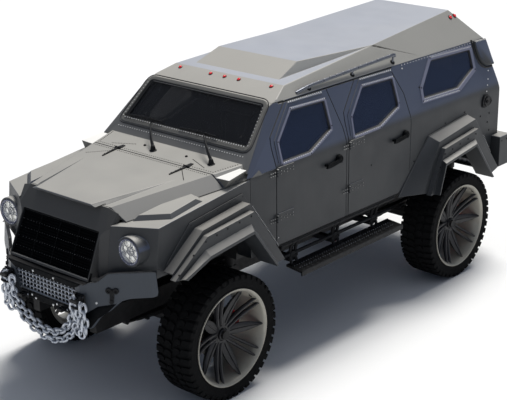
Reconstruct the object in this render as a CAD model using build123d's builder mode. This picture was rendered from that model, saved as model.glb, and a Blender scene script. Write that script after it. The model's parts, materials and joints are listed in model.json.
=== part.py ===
from build123d import *
from math import sin, cos, tan, atan, radians, degrees, pi, hypot
import os

os.makedirs("parts", exist_ok=True)

# Off-road vehicle: an armoured four-wheel-drive wagon.
# Millimetres. Origin on the ground under the middle of the vehicle,
# front towards -Y, vehicle's left side towards +X, +Z up.

# ---------------------------------------------------------------- sizes
AXLE_Y = 1790.0          # front axle at -AXLE_Y, rear axle at +AXLE_Y
TYRE_R = 570.0           # rolling radius, also the height of the wheel centres
TYRE_IN, TYRE_OUT = 757.0, 1127.0
WHEEL_X = 942.0          # tyre's middle plane
RIM_LIP_R, RIM_SEAT_R = 441.0, 420.0
RIM_OUT = 1130.0
KING_X = 790.0           # steering pivot
HUB_BORE_R, SPINDLE_R = 40.05, 40.0

SIDE_X = 934.0           # vertical lower side
BELT_Z, SILL_Z, GUTTER_Z = 1860.0, 1115.0, 2390.0
LEAN = 162.0 / 530.0     # upper side leans in by this much per unit height
WALL = 90.0              # whole thickness of doors and side walls
REAR_Y = 2780.0          # rear wall below the belt
FRONT_END, REAR_END = -2980.0, 2980.0
FENDER_T = 40.0
RECEIVER_OUT, RECEIVER_IN, PIN_R, PIN_Y = 90.0, 64.0, 8.0, 2895.0   # hitch receiver
TOW_EYE_R, TOW_PLATE = 14.0, 24.0
GAP = 8.0                # shut lines
DOOR_BEVEL = 0.36        # trailing door edges narrow inwards so that they swing clear
GLASS_SINK, GLASS_T = 16.0, 34.0

DOOR_AXIS_X = 952.0
FRONT_DOOR_AXIS_Y, REAR_DOOR_AXIS_Y = -985.0, 75.0
HOOD_AXIS_Y = -1600.0
TAIL_AXIS = (-640.0, 2806.0)


def skin(z):
    """Distance of the side skin from the middle plane at height z."""
    return SIDE_X - max(0.0, z - BELT_Z) * LEAN


def plane3(a, b, c, out):
    """Plane through three points whose normal points along out."""
    a, b, c, out = Vector(*a), Vector(*b), Vector(*c), Vector(*out)
    n = (b - a).cross(c - a).normalized()
    return Plane(origin=a, z_dir=n if n.dot(out) > 0 else n * -1)


def pn(point, normal):
    return Plane(origin=point, z_dir=normal)


def mx(p):
    """The same plane on the other side of the vehicle."""
    o, n = p.origin, p.z_dir
    return Plane(origin=(-o.X, o.Y, o.Z), z_dir=(-n.X, n.Y, n.Z))


def back(p, d):
    """The plane moved inwards by d."""
    return Plane(origin=p.origin - p.z_dir * d, z_dir=p.z_dir)


def flip(p):
    return Plane(origin=p.origin, z_dir=p.z_dir * -1)


def block(lo, hi, planes=()):
    """A convex block: a box between two corners, cut by planes that face outwards."""
    with BuildPart() as b:
        with Locations(((lo[0] + hi[0]) / 2, (lo[1] + hi[1]) / 2, (lo[2] + hi[2]) / 2)):
            Box(hi[0] - lo[0], hi[1] - lo[1], hi[2] - lo[2])
        for p in planes:
            split(bisect_by=p, keep=Keep.BOTTOM)
    return b.part


def prism_x(points, x0, x1):
    """A (y, z) outline carried from x0 to x1."""
    with BuildPart() as b:
        with BuildSketch(Plane(origin=(x0, 0, 0), x_dir=(0, 1, 0), z_dir=(1, 0, 0))):
            Polygon(*points, align=None)
        extrude(amount=x1 - x0)
    return b.part


def prism_y(points, y0, y1):
    """An (x, z) outline carried from y0 to y1."""
    with BuildPart() as b:
        with BuildSketch(Plane(origin=(0, y0, 0), x_dir=(1, 0, 0), z_dir=(0, -1, 0))):
            Polygon(*points, align=None)
        extrude(amount=-(y1 - y0))
    return b.part


def prism_z(points, z0, z1):
    """An (x, y) outline carried from z0 to z1."""
    with BuildPart() as b:
        with BuildSketch(Plane.XY.offset(z0)):
            Polygon(*points, align=None)
        extrude(amount=z1 - z0)
    return b.part


def rod(a, b, r):
    """A round bar from a to b."""
    a, b = Vector(*a), Vector(*b)
    with BuildPart() as p:
        with BuildSketch(Plane(origin=a, z_dir=b - a)):
            Circle(r)
        extrude(amount=(b - a).length)
    return p.part


def other(part):
    return mirror(part, about=Plane.YZ, mode=Mode.PRIVATE)


def save(part, name):
    part.label = name
    export_step(part, f"parts/{name}.step")


# ------------------------------------------------------- body's outer planes
SIDE_UP = pn((SIDE_X, 0, BELT_Z), (1, 0, LEAN))
SCREEN = pn((0, -1189, 2066), (0, -1, 1))                # windscreen frame's face
FACET = plane3((745, -850, 2405), (911, -1236, 1936), (778, -705, 2370), (1, 0, 0))
HEADER = plane3((0, -800, 2402), (100, -800, 2402), (0, -568, 2490), (0, -1, 1))
ROOF = plane3((0, -568, 2490), (100, -568, 2490), (0, 2417, 2685), (0, 0, 1))
ROOF_SIDE = plane3((771, -768, 2395), (773, 2646, 2387), (467, 2417, 2685), (1, 0, 1))
REAR_SLOPE = plane3((0, 2417, 2685), (100, 2417, 2685), (0, 2646, 2387), (0, 1, 1))
REAR_UP = plane3((0, 2646, 2387), (100, 2646, 2387), (0, REAR_Y, 1840), (0, 1, 0))
HOOD = plane3((830, -1239, 1960), (484, -2571, 1832), (-830, -1239, 1960), (0, 0, 1))
HOOD_SIDE = plane3((830, -1239, 1960), (484, -2571, 1832), (622, -2615, 1716), (1, 0, 0))
FENDER_TOP = plane3((934, -1327, 1849), (935, -2454, 1725), (622, -2615, 1716), (0, 0, 1))
LAMP = plane3((622, -2615, 1716), (935, -2454, 1725), (934, -2490, 1354), (0, -1, 0))
SHELL_UP = plane3((484, -2571, 1832), (-484, -2571, 1832), (471, -2679, 1651), (0, -1, 0))
SHELL_FACE = plane3((471, -2679, 1651), (-471, -2679, 1651), (487, -2849, 1263), (0, -1, 0))
SHELL_SIDE = plane3((484, -2571, 1832), (622, -2615, 1716), (519, -2672, 1672), (1, -1, 0))
WING = plane3((487, -2849, 1263), (946, -2531, 1311), (554, -2819, 1089), (0, -1, 0))

# ------------------------------------------------------------ door outlines
# (y, z) corners of each door on the side skin; upper run is above the belt
DOORS = {
    # name: lower front y, lower rear y, bottom z, upper outline from front to rear, axis y
    "front": dict(y0=-975.0, y1=42.0, z0=1125.0,
                  up=[(-975, 1860), (-983, 2040), (-969, 2127), (-690, 2376),
                      (-87, 2376), (28, 2004), (42, 1860)]),
    "rear": dict(y0=84.0, y1=1096.0, z0=1125.0,
                 up=[(84, 1860), (84, 2040), (96, 2127), (350, 2376),
                     (925, 2376), (1060, 2110), (1096, 1860)]),
}
# window outlines (y, z) on the side skin
WINDOWS = {
    "front": [(-626, 2298), (-145, 2286), (-138, 2053), (-142, 2025), (-491, 1893), (-881, 1892), (-878, 2065)],
    "rear": [(444, 2295), (933, 2284), (940, 2044), (926, 2009), (588, 1897), (178, 1891), (197, 2060)],
    "quarter": [(1624, 2334), (2350, 2315), (2346, 2123), (2006, 1985), (1377, 2000), (1385, 2097)],
}
REAR_CUT = (1096.0, 1300.0, 905.0, 1125.0)   # rear door's lower rear corner, cut along the flare


def edge_plane(a, b, slant, grow):
    """Plane along the skin edge a-b, (y, z), that slants by slant in y per unit x."""
    pa, pb = Vector(skin(a[1]), *a), Vector(skin(b[1]), *b)
    n = (pb - pa).cross(Vector(1, slant, 0)).normalized()
    return pa, n, grow


def door_prism(door, grow):
    """The door's outline as a solid through the wall, grown by the shut line."""
    d = DOORS[door]
    up = [tuple(map(float, q)) for q in d["up"]]
    mid = Vector(880, (d["y0"] + d["y1"]) / 2, 2050)
    planes = []
    for i, (a, b) in enumerate(zip(up[:-1], up[1:])):
        slant = DOOR_BEVEL if a[1] > b[1] else 0.0
        pa, n, _ = edge_plane(a, b, slant, grow)
        if (mid - pa).dot(n) > 0:
            n = n * -1
        planes.append(Plane(origin=pa + n * grow, z_dir=n))
    upper = block((500, -1100, BELT_Z), (1000, 1250, 2386), planes)
    low = [pn((SIDE_X, d["y0"] - grow, 0), (0, -1, 0)),
           pn((SIDE_X, d["y1"] + grow, 0), (-DOOR_BEVEL, 1, 0))]
    if door == "rear":
        y1, z1, y2, z2 = REAR_CUT
        low.append(back(plane3((0, y1, z1), (100, y1, z1), (0, y2, z2), (0, 1, -1)), -grow))
    lower = block((500, -1100, d["z0"] - grow), (1000, 1250, BELT_Z), low)
    return upper, lower


# --------------------------------------------------------------- side walls
BELT_R = 420.0
lean_angle = atan(LEAN)
belt_t = BELT_R * tan(lean_angle / 2)
up_dir = (-sin(lean_angle), cos(lean_angle))
FRAME_EDGE = plane3((745, -850, 2405), (868, -1212, 2043), (745, -880, 2435), (1, 0, 0))
pillar = block((600, -1400, BELT_Z), (1000, -600, GUTTER_Z),
               [SIDE_UP, SCREEN, FACET, HEADER, flip(FRAME_EDGE), flip(back(FACET, WALL))])

with BuildPart() as side_skin:
    with BuildSketch(Plane(origin=(0, -1330, 0), x_dir=(1, 0, 0), z_dir=(0, -1, 0))):
        with BuildLine():
            Polyline((skin(GUTTER_Z), GUTTER_Z), (skin(GUTTER_Z) - WALL, GUTTER_Z), (SIDE_X - WALL, BELT_Z),
                     (SIDE_X - WALL, SILL_Z), (SIDE_X, SILL_Z))
            Line((SIDE_X, SILL_Z), (SIDE_X, BELT_Z - belt_t))
            Line((SIDE_X + up_dir[0] * belt_t, BELT_Z + up_dir[1] * belt_t), (skin(GUTTER_Z), GUTTER_Z))
            TangentArc((SIDE_X, BELT_Z - belt_t), (SIDE_X + up_dir[0] * belt_t, BELT_Z + up_dir[1] * belt_t), tangent=(0, 1))
        make_face()
    extrude(amount=-(1330 + REAR_Y))
    for p in (SCREEN, FACET, HEADER, REAR_UP):
        split(bisect_by=p, keep=Keep.BOTTOM)
skin_wall = side_skin.part

REAR_ARCH = [(1150, 1000), (1420, 1400), (2100, 1490), (2500, 1000), (2500, 800), (1150, 800)]
FRONT_ARCH = [(-2520, 1180), (-2300, 1290), (-2090, 1480), (-1490, 1545), (-1150, 1060), (-1150, 800), (-2520, 800)]
rear_arch_cut = prism_x(REAR_ARCH, 830, 1000)
front_arch_cut = prism_x(FRONT_ARCH, 500, 1000)

ring_in, ring_out = WALL + 72.0, WALL + 12.0
ring = block((300, -1180, SILL_Z - 20), (1000, 1260, 2384),
             [back(SIDE_UP, ring_out), flip(back(SIDE_UP, ring_in)), pn((SIDE_X - ring_out, 0, 0), (1, 0, 0)),
              pn((0, 0, SILL_Z - 20), (0, 0, -1)), back(SCREEN, 90), back(HEADER, 10)])
ring_low = block((SIDE_X - ring_in, -1180, SILL_Z - 20), (SIDE_X - ring_out, 1260, BELT_Z))
FRONT_HOLE = [(-900, 1180), (-60, 1180), (-60, 2010), (-160, 2310), (-640, 2310), (-900, 2090)]
REAR_HOLE = [(165, 1180), (880, 1180), (985, 1330), (985, 2080), (880, 2310), (400, 2310), (165, 2090)]

window_cut = {k: prism_x(v, 500, 1000) for k, v in WINDOWS.items()}
fd_up, fd_low = door_prism("front", 0.0)
fo_up, fo_low = door_prism("front", GAP)
rd_up, rd_low = door_prism("rear", 0.0)
ro_up, ro_low = door_prism("rear", GAP)
hole_f, hole_r = prism_x(FRONT_HOLE, 500, 860), prism_x(REAR_HOLE, 500, 860)
POD_OUT = [(2440, 2386), (2640, 2386), (2690, 2160), (2660, 2080), (2560, 2060), (2470, 2110)]

with BuildPart() as ring_part:
    add(ring)
    add(ring_low)
    add(hole_f, mode=Mode.SUBTRACT)
    add(hole_r, mode=Mode.SUBTRACT)
ring_frame = ring_part.part

join_front = block((SIDE_X - ring_in, -1330, SILL_Z), (SIDE_X - 10, -1010, BELT_Z - 60))
join_rear = block((SIDE_X - ring_in, 1160, SILL_Z + 180), (SIDE_X - 10, 1260, BELT_Z - 20))

with BuildPart() as body_side_left:
    add(skin_wall)
    add(pillar)
    for cutter in (block((0, -1500, 1860), (1000, -500, 2500), [FRAME_EDGE, flip(back(SCREEN, 80))]),
                   fo_up, fo_low, ro_up, ro_low, window_cut["quarter"], rear_arch_cut,
                   block((500, -760, 2376), (1000, 960, 2500))):
        add(cutter, mode=Mode.SUBTRACT)
    add(ring_frame)
    add(join_front)
    add(join_rear)
side_l = max(body_side_left.part.solids(), key=lambda q: q.volume)
print("side solids", [round(q.volume / 1e6) for q in body_side_left.part.solids()])
with BuildPart() as side_keep:
    add(side_l)
side_l = side_keep.part

# ------------------------------------------------------------------- doors
save(side_l, "body_side_left")
save(other(side_l), "body_side_right")
for name, (up, low) in {"front": (fd_up, fd_low), "rear": (rd_up, rd_low)}.items():
    with BuildPart() as prism:
        add(up)
        add(low)
    outline = prism.part
    with BuildPart() as door:
        add(skin_wall)
        add(outline, mode=Mode.INTERSECT)
        add(window_cut[name], mode=Mode.SUBTRACT)
    glass = block((500, -1100, 1850), (1000, 2700, 2380), [back(SIDE_UP, GLASS_SINK), flip(back(SIDE_UP, GLASS_SINK + GLASS_T))])
    with BuildPart() as pane:
        add(glass)
        add(window_cut[name], mode=Mode.INTERSECT)
    axis_y = FRONT_DOOR_AXIS_Y if name == "front" else REAR_DOOR_AXIS_Y
    y0 = DOORS[name]["y0"]
    with BuildPart() as door_full:
        add(door.part)
        # hinge straps that carry the door on its pins, on the outer skin
        for z in (1820, 1385):
            add(block((SIDE_X - 2, y0 + 14, z - 45), (SIDE_X + 8, y0 + 230, z + 45)))
    whole = door_full.part
    save(whole, f"{name}_door_left")
    save(other(whole), f"{name}_door_right")
    save(pane.part, f"{name}_door_glass_left")
    save(other(pane.part), f"{name}_door_glass_right")
    print(name, "door solids", len(whole.solids()))

with BuildPart() as quarter:
    add(glass)
    add(window_cut["quarter"], mode=Mode.INTERSECT)
    mirror(about=Plane.YZ)
save(quarter.part, "quarter_glass")

# -------------------------------------------------------------------- roof
roof_planes = [HEADER, ROOF, ROOF_SIDE, mx(ROOF_SIDE), REAR_SLOPE, REAR_UP, SCREEN, FACET, mx(FACET), SIDE_UP, mx(SIDE_UP)]
roof_outer = block((-1000, -1200, GUTTER_Z), (1000, 2900, 2800), roof_planes)
roof_inner = block((-1000, -1200, GUTTER_Z - 50), (1000, 2900, 2800), [back(p, 62) for p in roof_planes])
RAISED_TOP = plane3((0, -156, 2608), (100, -156, 2608), (0, 900, 2586), (0, 0, 1))
RAISED_FRONT = plane3((0, -436, 2499), (100, -436, 2499), (0, -156, 2608), (0, -1, 1))
RAISED_SIDE = plane3((492, -156, 2608), (574, 900, 2586), (536, 0, 2527), (1, 0, 1))
raised = block((-700, -500, 2400), (700, 960, 2700), [RAISED_TOP, RAISED_FRONT, RAISED_SIDE, mx(RAISED_SIDE), flip(back(ROOF, 20)), ROOF_SIDE, mx(ROOF_SIDE)])
with BuildPart() as roof:
    add(roof_outer)
    add(roof_inner, mode=Mode.SUBTRACT)
    add(raised)
save(roof.part, "roof")
print("roof", len(roof.part.solids()))

# ------------------------------------------------- windscreen frame and cowl
SCREEN_GLASS = [(-705, 2371), (705, 2371), (767, 2052), (-767, 2052)]
frame_outer = block((-1000, -1500, 1900), (1000, -600, GUTTER_Z), [SCREEN, FRAME_EDGE, mx(FRAME_EDGE), HEADER, flip(back(SCREEN, 80)), FACET, mx(FACET)])
glass_slab = block((-1000, -1500, 1900), (1000, -600, 2500), [back(SCREEN, 20), flip(back(SCREEN, 54))])
screen_cut = prism_y(SCREEN_GLASS, -1500, -600)
cowl_half = block((-1, -1596, 1700), (1000, -1200, 2100), [HOOD, HOOD_SIDE, flip(back(FENDER_TOP, -6))])
cowl_inner = block((-1000, -1560, 1500), (1000, -1282, 2100), [back(HOOD, 45), back(HOOD_SIDE, 45), mx(back(HOOD_SIDE, 45))])
# air scoop where the hood's side meets the fender: x, y, z corners of its top
SCOOP = [(800, -1590, 1900), (925, -1590, 1905), (905, -1330, 1935), (800, -1330, 1935)]
SCOOP_TOP = plane3(SCOOP[0], SCOOP[1], SCOOP[2], (0, 0, 1))
SCOOP_SIDE = plane3((925, -1590, 1905), (905, -1330, 1935), (880, -1590, 1830), (1, 0, 0))
scoop = block((760, -1592, 1700), (1000, -1345, 2000), [SCOOP_TOP, SCOOP_SIDE, flip(back(FENDER_TOP, -6))])
with BuildPart() as windshield_frame:
    add(frame_outer)
    add(screen_cut, mode=Mode.SUBTRACT)
    add(cowl_half)
    add(other(cowl_half))
    add(cowl_inner, mode=Mode.SUBTRACT)
    add(scoop)
    add(other(scoop))
    add(block((-760, -1330, 1000), (760, -1282, 1836)), mode=Mode.SUBTRACT)
    add(side_l, mode=Mode.SUBTRACT)
    add(other(side_l), mode=Mode.SUBTRACT)
wf = windshield_frame.part
print("windshield frame", [round(q.volume / 1e6, 1) for q in wf.solids()])
wf = Part(max(wf.solids(), key=lambda q: q.volume).wrapped)
save(wf, "windshield_frame")
with BuildPart() as windshield:
    add(glass_slab)
    add(screen_cut, mode=Mode.INTERSECT)
save(windshield.part, "windshield")

# --------------------------------------------------------------- rear wall
TAIL_HALF, TAIL_Z0, TAIL_Z1 = 600.0, 1180.0, 2330.0
IN_SIDE = back(SIDE_UP, WALL)
rear_skin_up = block((-(SIDE_X - WALL), 2400, BELT_Z - 20), (SIDE_X - WALL, 2900, GUTTER_Z), [REAR_UP, flip(back(REAR_UP, WALL)), IN_SIDE, mx(IN_SIDE)])
rear_skin_low = block((-(SIDE_X - WALL), REAR_Y - WALL, 1060), (SIDE_X - WALL, REAR_Y, BELT_Z - 20))
TAIL_FREE = pn((TAIL_HALF, REAR_Y, 0), (1, -0.24, 0))
tail_prism = block((-TAIL_HALF, 2300, TAIL_Z0), (1000, 2900, TAIL_Z1), [TAIL_FREE])
tail_open = block((-TAIL_HALF - GAP, 2300, TAIL_Z0 - GAP), (1000, 2900, TAIL_Z1 + GAP), [back(TAIL_FREE, -GAP)])
TAIL_WINDOW = [(-400, 1960), (400, 1960), (400, 2180), (330, 2250), (-330, 2250), (-400, 2180)]
tail_window = prism_y(TAIL_WINDOW, 2300, 2900)
with BuildPart() as rear_wall:
    add(rear_skin_up)
    add(rear_skin_low)
    add(tail_open, mode=Mode.SUBTRACT)
save(rear_wall.part, "rear_wall")
with BuildPart() as tail_door:
    add(rear_skin_up)
    add(rear_skin_low)
    add(tail_prism, mode=Mode.INTERSECT)
    add(tail_window, mode=Mode.SUBTRACT)
    for z in (1790, 1300):
        add(block((-TAIL_HALF + 14, REAR_Y - 2, z - 45), (-TAIL_HALF + 260, REAR_Y + 10, z + 45)))
save(tail_door.part, "tail_door")
with BuildPart() as tail_glass:
    add(block((-500, 2400, BELT_Z), (500, 2900, GUTTER_Z), [back(REAR_UP, GLASS_SINK), flip(back(REAR_UP, GLASS_SINK + GLASS_T))]))
    add(tail_window, mode=Mode.INTERSECT)
save(tail_glass.part, "tail_door_glass")
print("rear wall", len(rear_wall.part.solids()), "tail", len(tail_door.part.solids()))

# ------------------------------------------------------------------- floor
with BuildPart() as cab_floor:
    # plate, firewall and the two rear wheelhouses
    with Locations((0, 680, 1085)):
        Box(2 * 760, 4020, 50)
    with Locations((0, -1306, 1448)):
        Box(2 * 760, 48, 776)
    for s in (-1, 1):
        with Locations((s * 700, 1860, 1310)):
            Box(280, 1480, 500)
    for s in (-1, 1):
        with Locations((s * 760, 1860, 1250)):
            Box(320, 1400, 540, mode=Mode.SUBTRACT)
floor = cab_floor.part
with BuildPart() as floor_trim:
    add(floor)
    add(side_l, mode=Mode.SUBTRACT)
    add(other(side_l), mode=Mode.SUBTRACT)
    add(rear_wall.part, mode=Mode.SUBTRACT)
print("floor", [round(q.volume / 1e6, 2) for q in floor_trim.part.solids()])
save(Part(max(floor_trim.part.solids(), key=lambda q: q.volume).wrapped), "cab_floor")

# ------------------------------------------------------------ front fenders
INNER_FOOT = plane3((622, -2615, 1716), (932, -1360, 1845), (622, -2615, 1000), (-1, 0, 0))
fender_outer = block((400, -2900, 1300), (SIDE_X, -1332, 1900), [FENDER_TOP, LAMP, back(INNER_FOOT, -45)])
fender_inner = block((300, -2900, 1100), (SIDE_X - FENDER_T, -1300, 1900), [back(FENDER_TOP, FENDER_T), back(LAMP, FENDER_T)])
POD = (747.0, 1525.0)
pod = rod((POD[0], -2622, POD[1]), (POD[0], -2450, POD[1]), 130)
pod_hole = rod((POD[0], -2640, POD[1]), (POD[0], -2536, POD[1]), 112)
with BuildPart() as fender_left:
    add(fender_outer)
    add(fender_inner, mode=Mode.SUBTRACT)
    add(front_arch_cut, mode=Mode.SUBTRACT)
    add(pod)
    add(pod_hole, mode=Mode.SUBTRACT)
with BuildPart() as fender_keep:
    add(max(fender_left.part.solids(), key=lambda q: q.volume))
fl = fender_keep.part
print("fender", [round(q.volume / 1e6, 2) for q in fender_left.part.solids()])
with BuildPart() as headlights:
    add(rod((POD[0], -2616, POD[1]), (POD[0], -2536, POD[1]), 112))
    mirror(about=Plane.YZ)
save(headlights.part, "headlights")

# ------------------------------------------------------------ fender flares
# (y, z) corners at leg foot, first corner, second corner, leg foot, for each step of the
# section: base on the body, first ledge, second ledge, lower edge of the face, lip
FLARES = {
    "front": dict(base=[(-2390, 1386), (-2103, 1673), (-1442, 1756), (-1000, 1120)],
                  ledge1=[(-2420, 1343), (-2048, 1616), (-1450, 1687), (-1010, 1066)],
                  ledge2=[(-2440, 1298), (-2045, 1573), (-1461, 1630), (-1045, 1066)],
                  face=[(-2380, 1292), (-2079, 1465), (-1496, 1531), (-1150, 1066)],
                  lip=[(-2380, 1310), (-2071, 1424), (-1526, 1485), (-1205, 1066)],
                  inner=[(-2350, 1292), (-2071, 1396), (-1526, 1457), (-1225, 1066)]),
    "rear": dict(base=[(897, 1083), (1408, 1610), (2124, 1685), (2640, 1030)],
                 ledge1=[(1201, 1060), (1473, 1547), (2149, 1639), (2606, 1030)],
                 ledge2=[(1270, 1031), (1508, 1479), (2126, 1553), (2572, 1016)],
                 face=[(1330, 1031), (1463, 1366), (2079, 1452), (2470, 960)],
                 lip=[(1340, 1031), (1443, 1348), (2022, 1423), (2400, 960)],
                 inner=[(1358, 1031), (1455, 1322), (2015, 1396), (2370, 960)]),
}


def quad_face(points, x):
    return Face(Wire.make_polygon([Vector(x, y, z) for y, z in points], close=True))


def flare(t):
    inner = t["inner"][::-1]
    with BuildPart() as f:
        add(prism_x(t["base"] + inner, SIDE_X, SIDE_X + 10))
        if t is FLARES["rear"]:
            loft([quad_face(t["base"] + inner, SIDE_X + 4), quad_face(t["ledge1"] + inner, 1040)], ruled=True)
        else:
            add(prism_x(t["ledge1"] + inner, SIDE_X + 4, 1040))
        add(prism_x(t["ledge2"] + inner, 1030, 1090))
        loft([quad_face(t["face"] + inner, 1089), quad_face(t["lip"] + inner, 1150)], ruled=True)
    return f.part


front_flare, rear_flare = flare(FLARES["front"]), flare(FLARES["rear"])
print("flares", len(front_flare.solids()), len(rear_flare.solids()), front_flare.is_valid, rear_flare.is_valid)
with BuildPart() as flares:
    add(front_flare)
    add(rear_flare)
    mirror(about=Plane.YZ)
save(flares.part, "fender_flares")
with BuildPart() as front_fenders:
    add(fl)
    add(other(fl))
save(front_fenders.part, "front_fenders")
print("front fenders", len(front_fenders.part.solids()))

# -------------------------------------------------------------------- hood
LID_FRONT = pn((0, -2560, 1832), (0, -1, -0.3))
hood_half = block((-1, -2700, 1650), (1000, -1604, 2000), [HOOD, HOOD_SIDE, LID_FRONT, flip(back(FENDER_TOP, -7))])
hood_inner = block((-1000, -2700, 1500), (1000, -1660, 2000), [back(HOOD, 45), back(HOOD_SIDE, 45), mx(back(HOOD_SIDE, 45))])
BULGE_TOP = plane3((0, -1913, 1895), (100, -1913, 1895), (0, -2623, 1851), (0, 0, 1))
BULGE_SIDE = plane3((524, -1913, 1896), (345, -2623, 1851), (421, -2581, 1831), (1, 0, 1))
bulge = block((-600, -2640, 1780), (600, -1880, 1950), [BULGE_TOP, BULGE_SIDE, mx(BULGE_SIDE), flip(back(HOOD, -7))])
bulge_root = block((-600, -2540, 1780), (600, -1880, 1950), [BULGE_TOP, BULGE_SIDE, mx(BULGE_SIDE), flip(back(HOOD, 20))])
with BuildPart() as hood:
    add(hood_half)
    add(other(hood_half))
    add(hood_inner, mode=Mode.SUBTRACT)
    add(bulge)
    add(bulge_root)
print("hood", [round(q.volume / 1e6, 2) for q in hood.part.solids()])
save(hood.part, "hood")

# ----------------------------------------------------- front shell and grille
FOOT_CUT = flip(back(INNER_FOOT, -46))
shell_planes = [HOOD, SHELL_UP, SHELL_FACE, SHELL_SIDE, mx(SHELL_SIDE), LAMP, mx(LAMP), FOOT_CUT, mx(FOOT_CUT)]
shell_outer = block((-700, -2950, 1262), (700, -2480, 1900), shell_planes + [flip(back(LID_FRONT, -9))])
GRILLE_SIDE = plane3((487, -2679, 1651), (488, -2849, 1263), (487, -2400, 1500), (1, 0, 0))
front_planes = [HOOD, SHELL_UP, SHELL_FACE, flip(back(LID_FRONT, -9))]
shell_nose = block((-700, -2950, 1262), (700, -2600, 1655), front_planes + [GRILLE_SIDE, mx(GRILLE_SIDE)])
shell_inner = block((-447, -2950, 1200), (447, -2420, 1760), [back(p, 60) for p in (SHELL_UP, SHELL_FACE)])
shell_behind = block((-640, -2950, 1200), (640, -2420, 1760), [back(SHELL_UP, 60), back(SHELL_FACE, 60), back(LAMP, 40), mx(back(LAMP, 40))])
grille_cut = prism_y([(-471, 1651), (471, 1651), (486, 1283), (-486, 1283)], -3000, -2400)
with BuildPart() as grille_shell:
    add(shell_outer)
    add(shell_nose)
    add(shell_inner, mode=Mode.SUBTRACT)
    add(shell_behind, mode=Mode.SUBTRACT)
    add(grille_cut, mode=Mode.SUBTRACT)
print("shell", [(round(q.volume / 1e6, 2), q.bounding_box().min, q.bounding_box().max) for q in grille_shell.part.solids()])
with BuildPart() as shell_keep:
    add(max(grille_shell.part.solids(), key=lambda q: q.volume))
save(shell_keep.part, "grille_shell")
with BuildPart() as grille:
    add(block((-600, -2950, 1200), (600, -2400, 1700), [back(SHELL_FACE, 12), flip(back(SHELL_FACE, 40))]))
    add(grille_cut, mode=Mode.INTERSECT)

# ------------------------------------------------------------- front bumper
BUMPER_FRONT = -2890.0
half = [(0, 1238), (487, 1254), (560, 1273), (627, 1344), (960, 1372), (987, 1247), (967, 1168), (939, 1153), (781, 1134), (714, 1106), (636, 1016), (568, 955), (520, 862), (455, 862), (400, 950), (0, 950)]
outline = half + [(-x, z) for x, z in half[::-1] if x]
bumper_outer = block((-990, BUMPER_FRONT, 800), (990, -2300, 1400), [WING, mx(WING)])
bumper_inner = block((-1100, BUMPER_FRONT + 50, 700), (1100, -2000, 1500), [back(WING, 30), mx(back(WING, 30))])
mesh_cut = prism_y([(-385, 1205), (385, 1205), (330, 1010), (-330, 1010)], -3000, -2500)
with BuildPart() as front_bumper:
    add(bumper_outer)
    add(prism_y(outline, -3000, -2300), mode=Mode.INTERSECT)
    add(bumper_inner, mode=Mode.SUBTRACT)
    add(block((-1000, -2520, 700), (1000, -2200, 1500)), mode=Mode.SUBTRACT)
    add(mesh_cut, mode=Mode.SUBTRACT)
print("bumper", [round(q.volume / 1e6, 2) for q in front_bumper.part.solids()])
save(front_bumper.part, "front_bumper")
with BuildPart() as grilles:
    add(grille.part)
    with Locations((0, -2860, 1108)):
        Box(640, 16, 180)
save(grilles.part, "grilles")

# ---------------------------------------------------------------- tow chain
CHAIN_Y = -2944.0
chain_xz = [(-440, 1104), (-430, 990), (-250, 900), (-110, 750), (50, 725), (210, 745), (340, 815), (440, 950), (446, 1104)]
chain_pts = [(x, CHAIN_Y, z) for x, z in chain_xz]
with BuildPart() as tow_chain:
    with BuildLine() as path:
        FilletPolyline(*chain_pts, radius=60)
    with BuildSketch(Plane(origin=path.line @ 0, z_dir=path.line % 0)):
        Circle(34)
    sweep()
save(tow_chain.part, "tow_chain")
with BuildPart() as tow_hooks:
    for s in (-1, 1):
        # plates that the chain hangs from
        with Locations((s * 446, -2899, 1120)):
            Box(110, 18, 90)
        with Locations((s * 446, -2944, 1120)):
            Box(80, 72, TOW_PLATE)
        # towing eyes under the bumper's middle
        with Locations((s * 250, -2899, 985)):
            Box(110, 18, 60)
        with Locations((s * 250, -2936, 985)):
            Box(60, 60, TOW_PLATE)
        with Locations((s * 250, -2944, 985)):
            Cylinder(TOW_EYE_R, 60, mode=Mode.SUBTRACT)
save(tow_hooks.part, "tow_hooks")

# ------------------------------------------------------------ chassis frame
RAIL_X0, RAIL_X1, RAIL_Z0, RAIL_Z1 = 320.0, 400.0, 720.0, 900.0
with BuildPart() as chassis_frame:
    for s in (-1, 1):
        with Locations((s * 360, 0, (RAIL_Z0 + RAIL_Z1) / 2)):
            Box(80, 5400, RAIL_Z1 - RAIL_Z0)
        # bumper horns
        with Locations((s * 360, -2767.5, 925)):
            Box(60, 145, 130)
    for y in (-2620, -700, -100, 800, 1790, 2600):
        with Locations((0, y, 845)):
            Box(660, 90, 80)
save(chassis_frame.part, "chassis_frame")
with BuildPart() as body_mounts:
    # outriggers on the rails, each with its rubber mount up to the floor
    for s in (-1, 1):
        for y in (-1150, -250, 650, 1050, 2500):
            with Locations((s * 480, y, 860)):
                Box(160, 90, 60)
            with Locations((s * 510, y, 974)):
                Cylinder(45, 172)
save(body_mounts.part, "body_mounts")

with BuildPart() as engine_block:
    with Locations((0, -1980, 1180)):
        Box(560, 900, 640)
    with Locations((0, -1400, 960)):
        Box(320, 300, 200)
save(engine_block.part, "engine_block")

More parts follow.
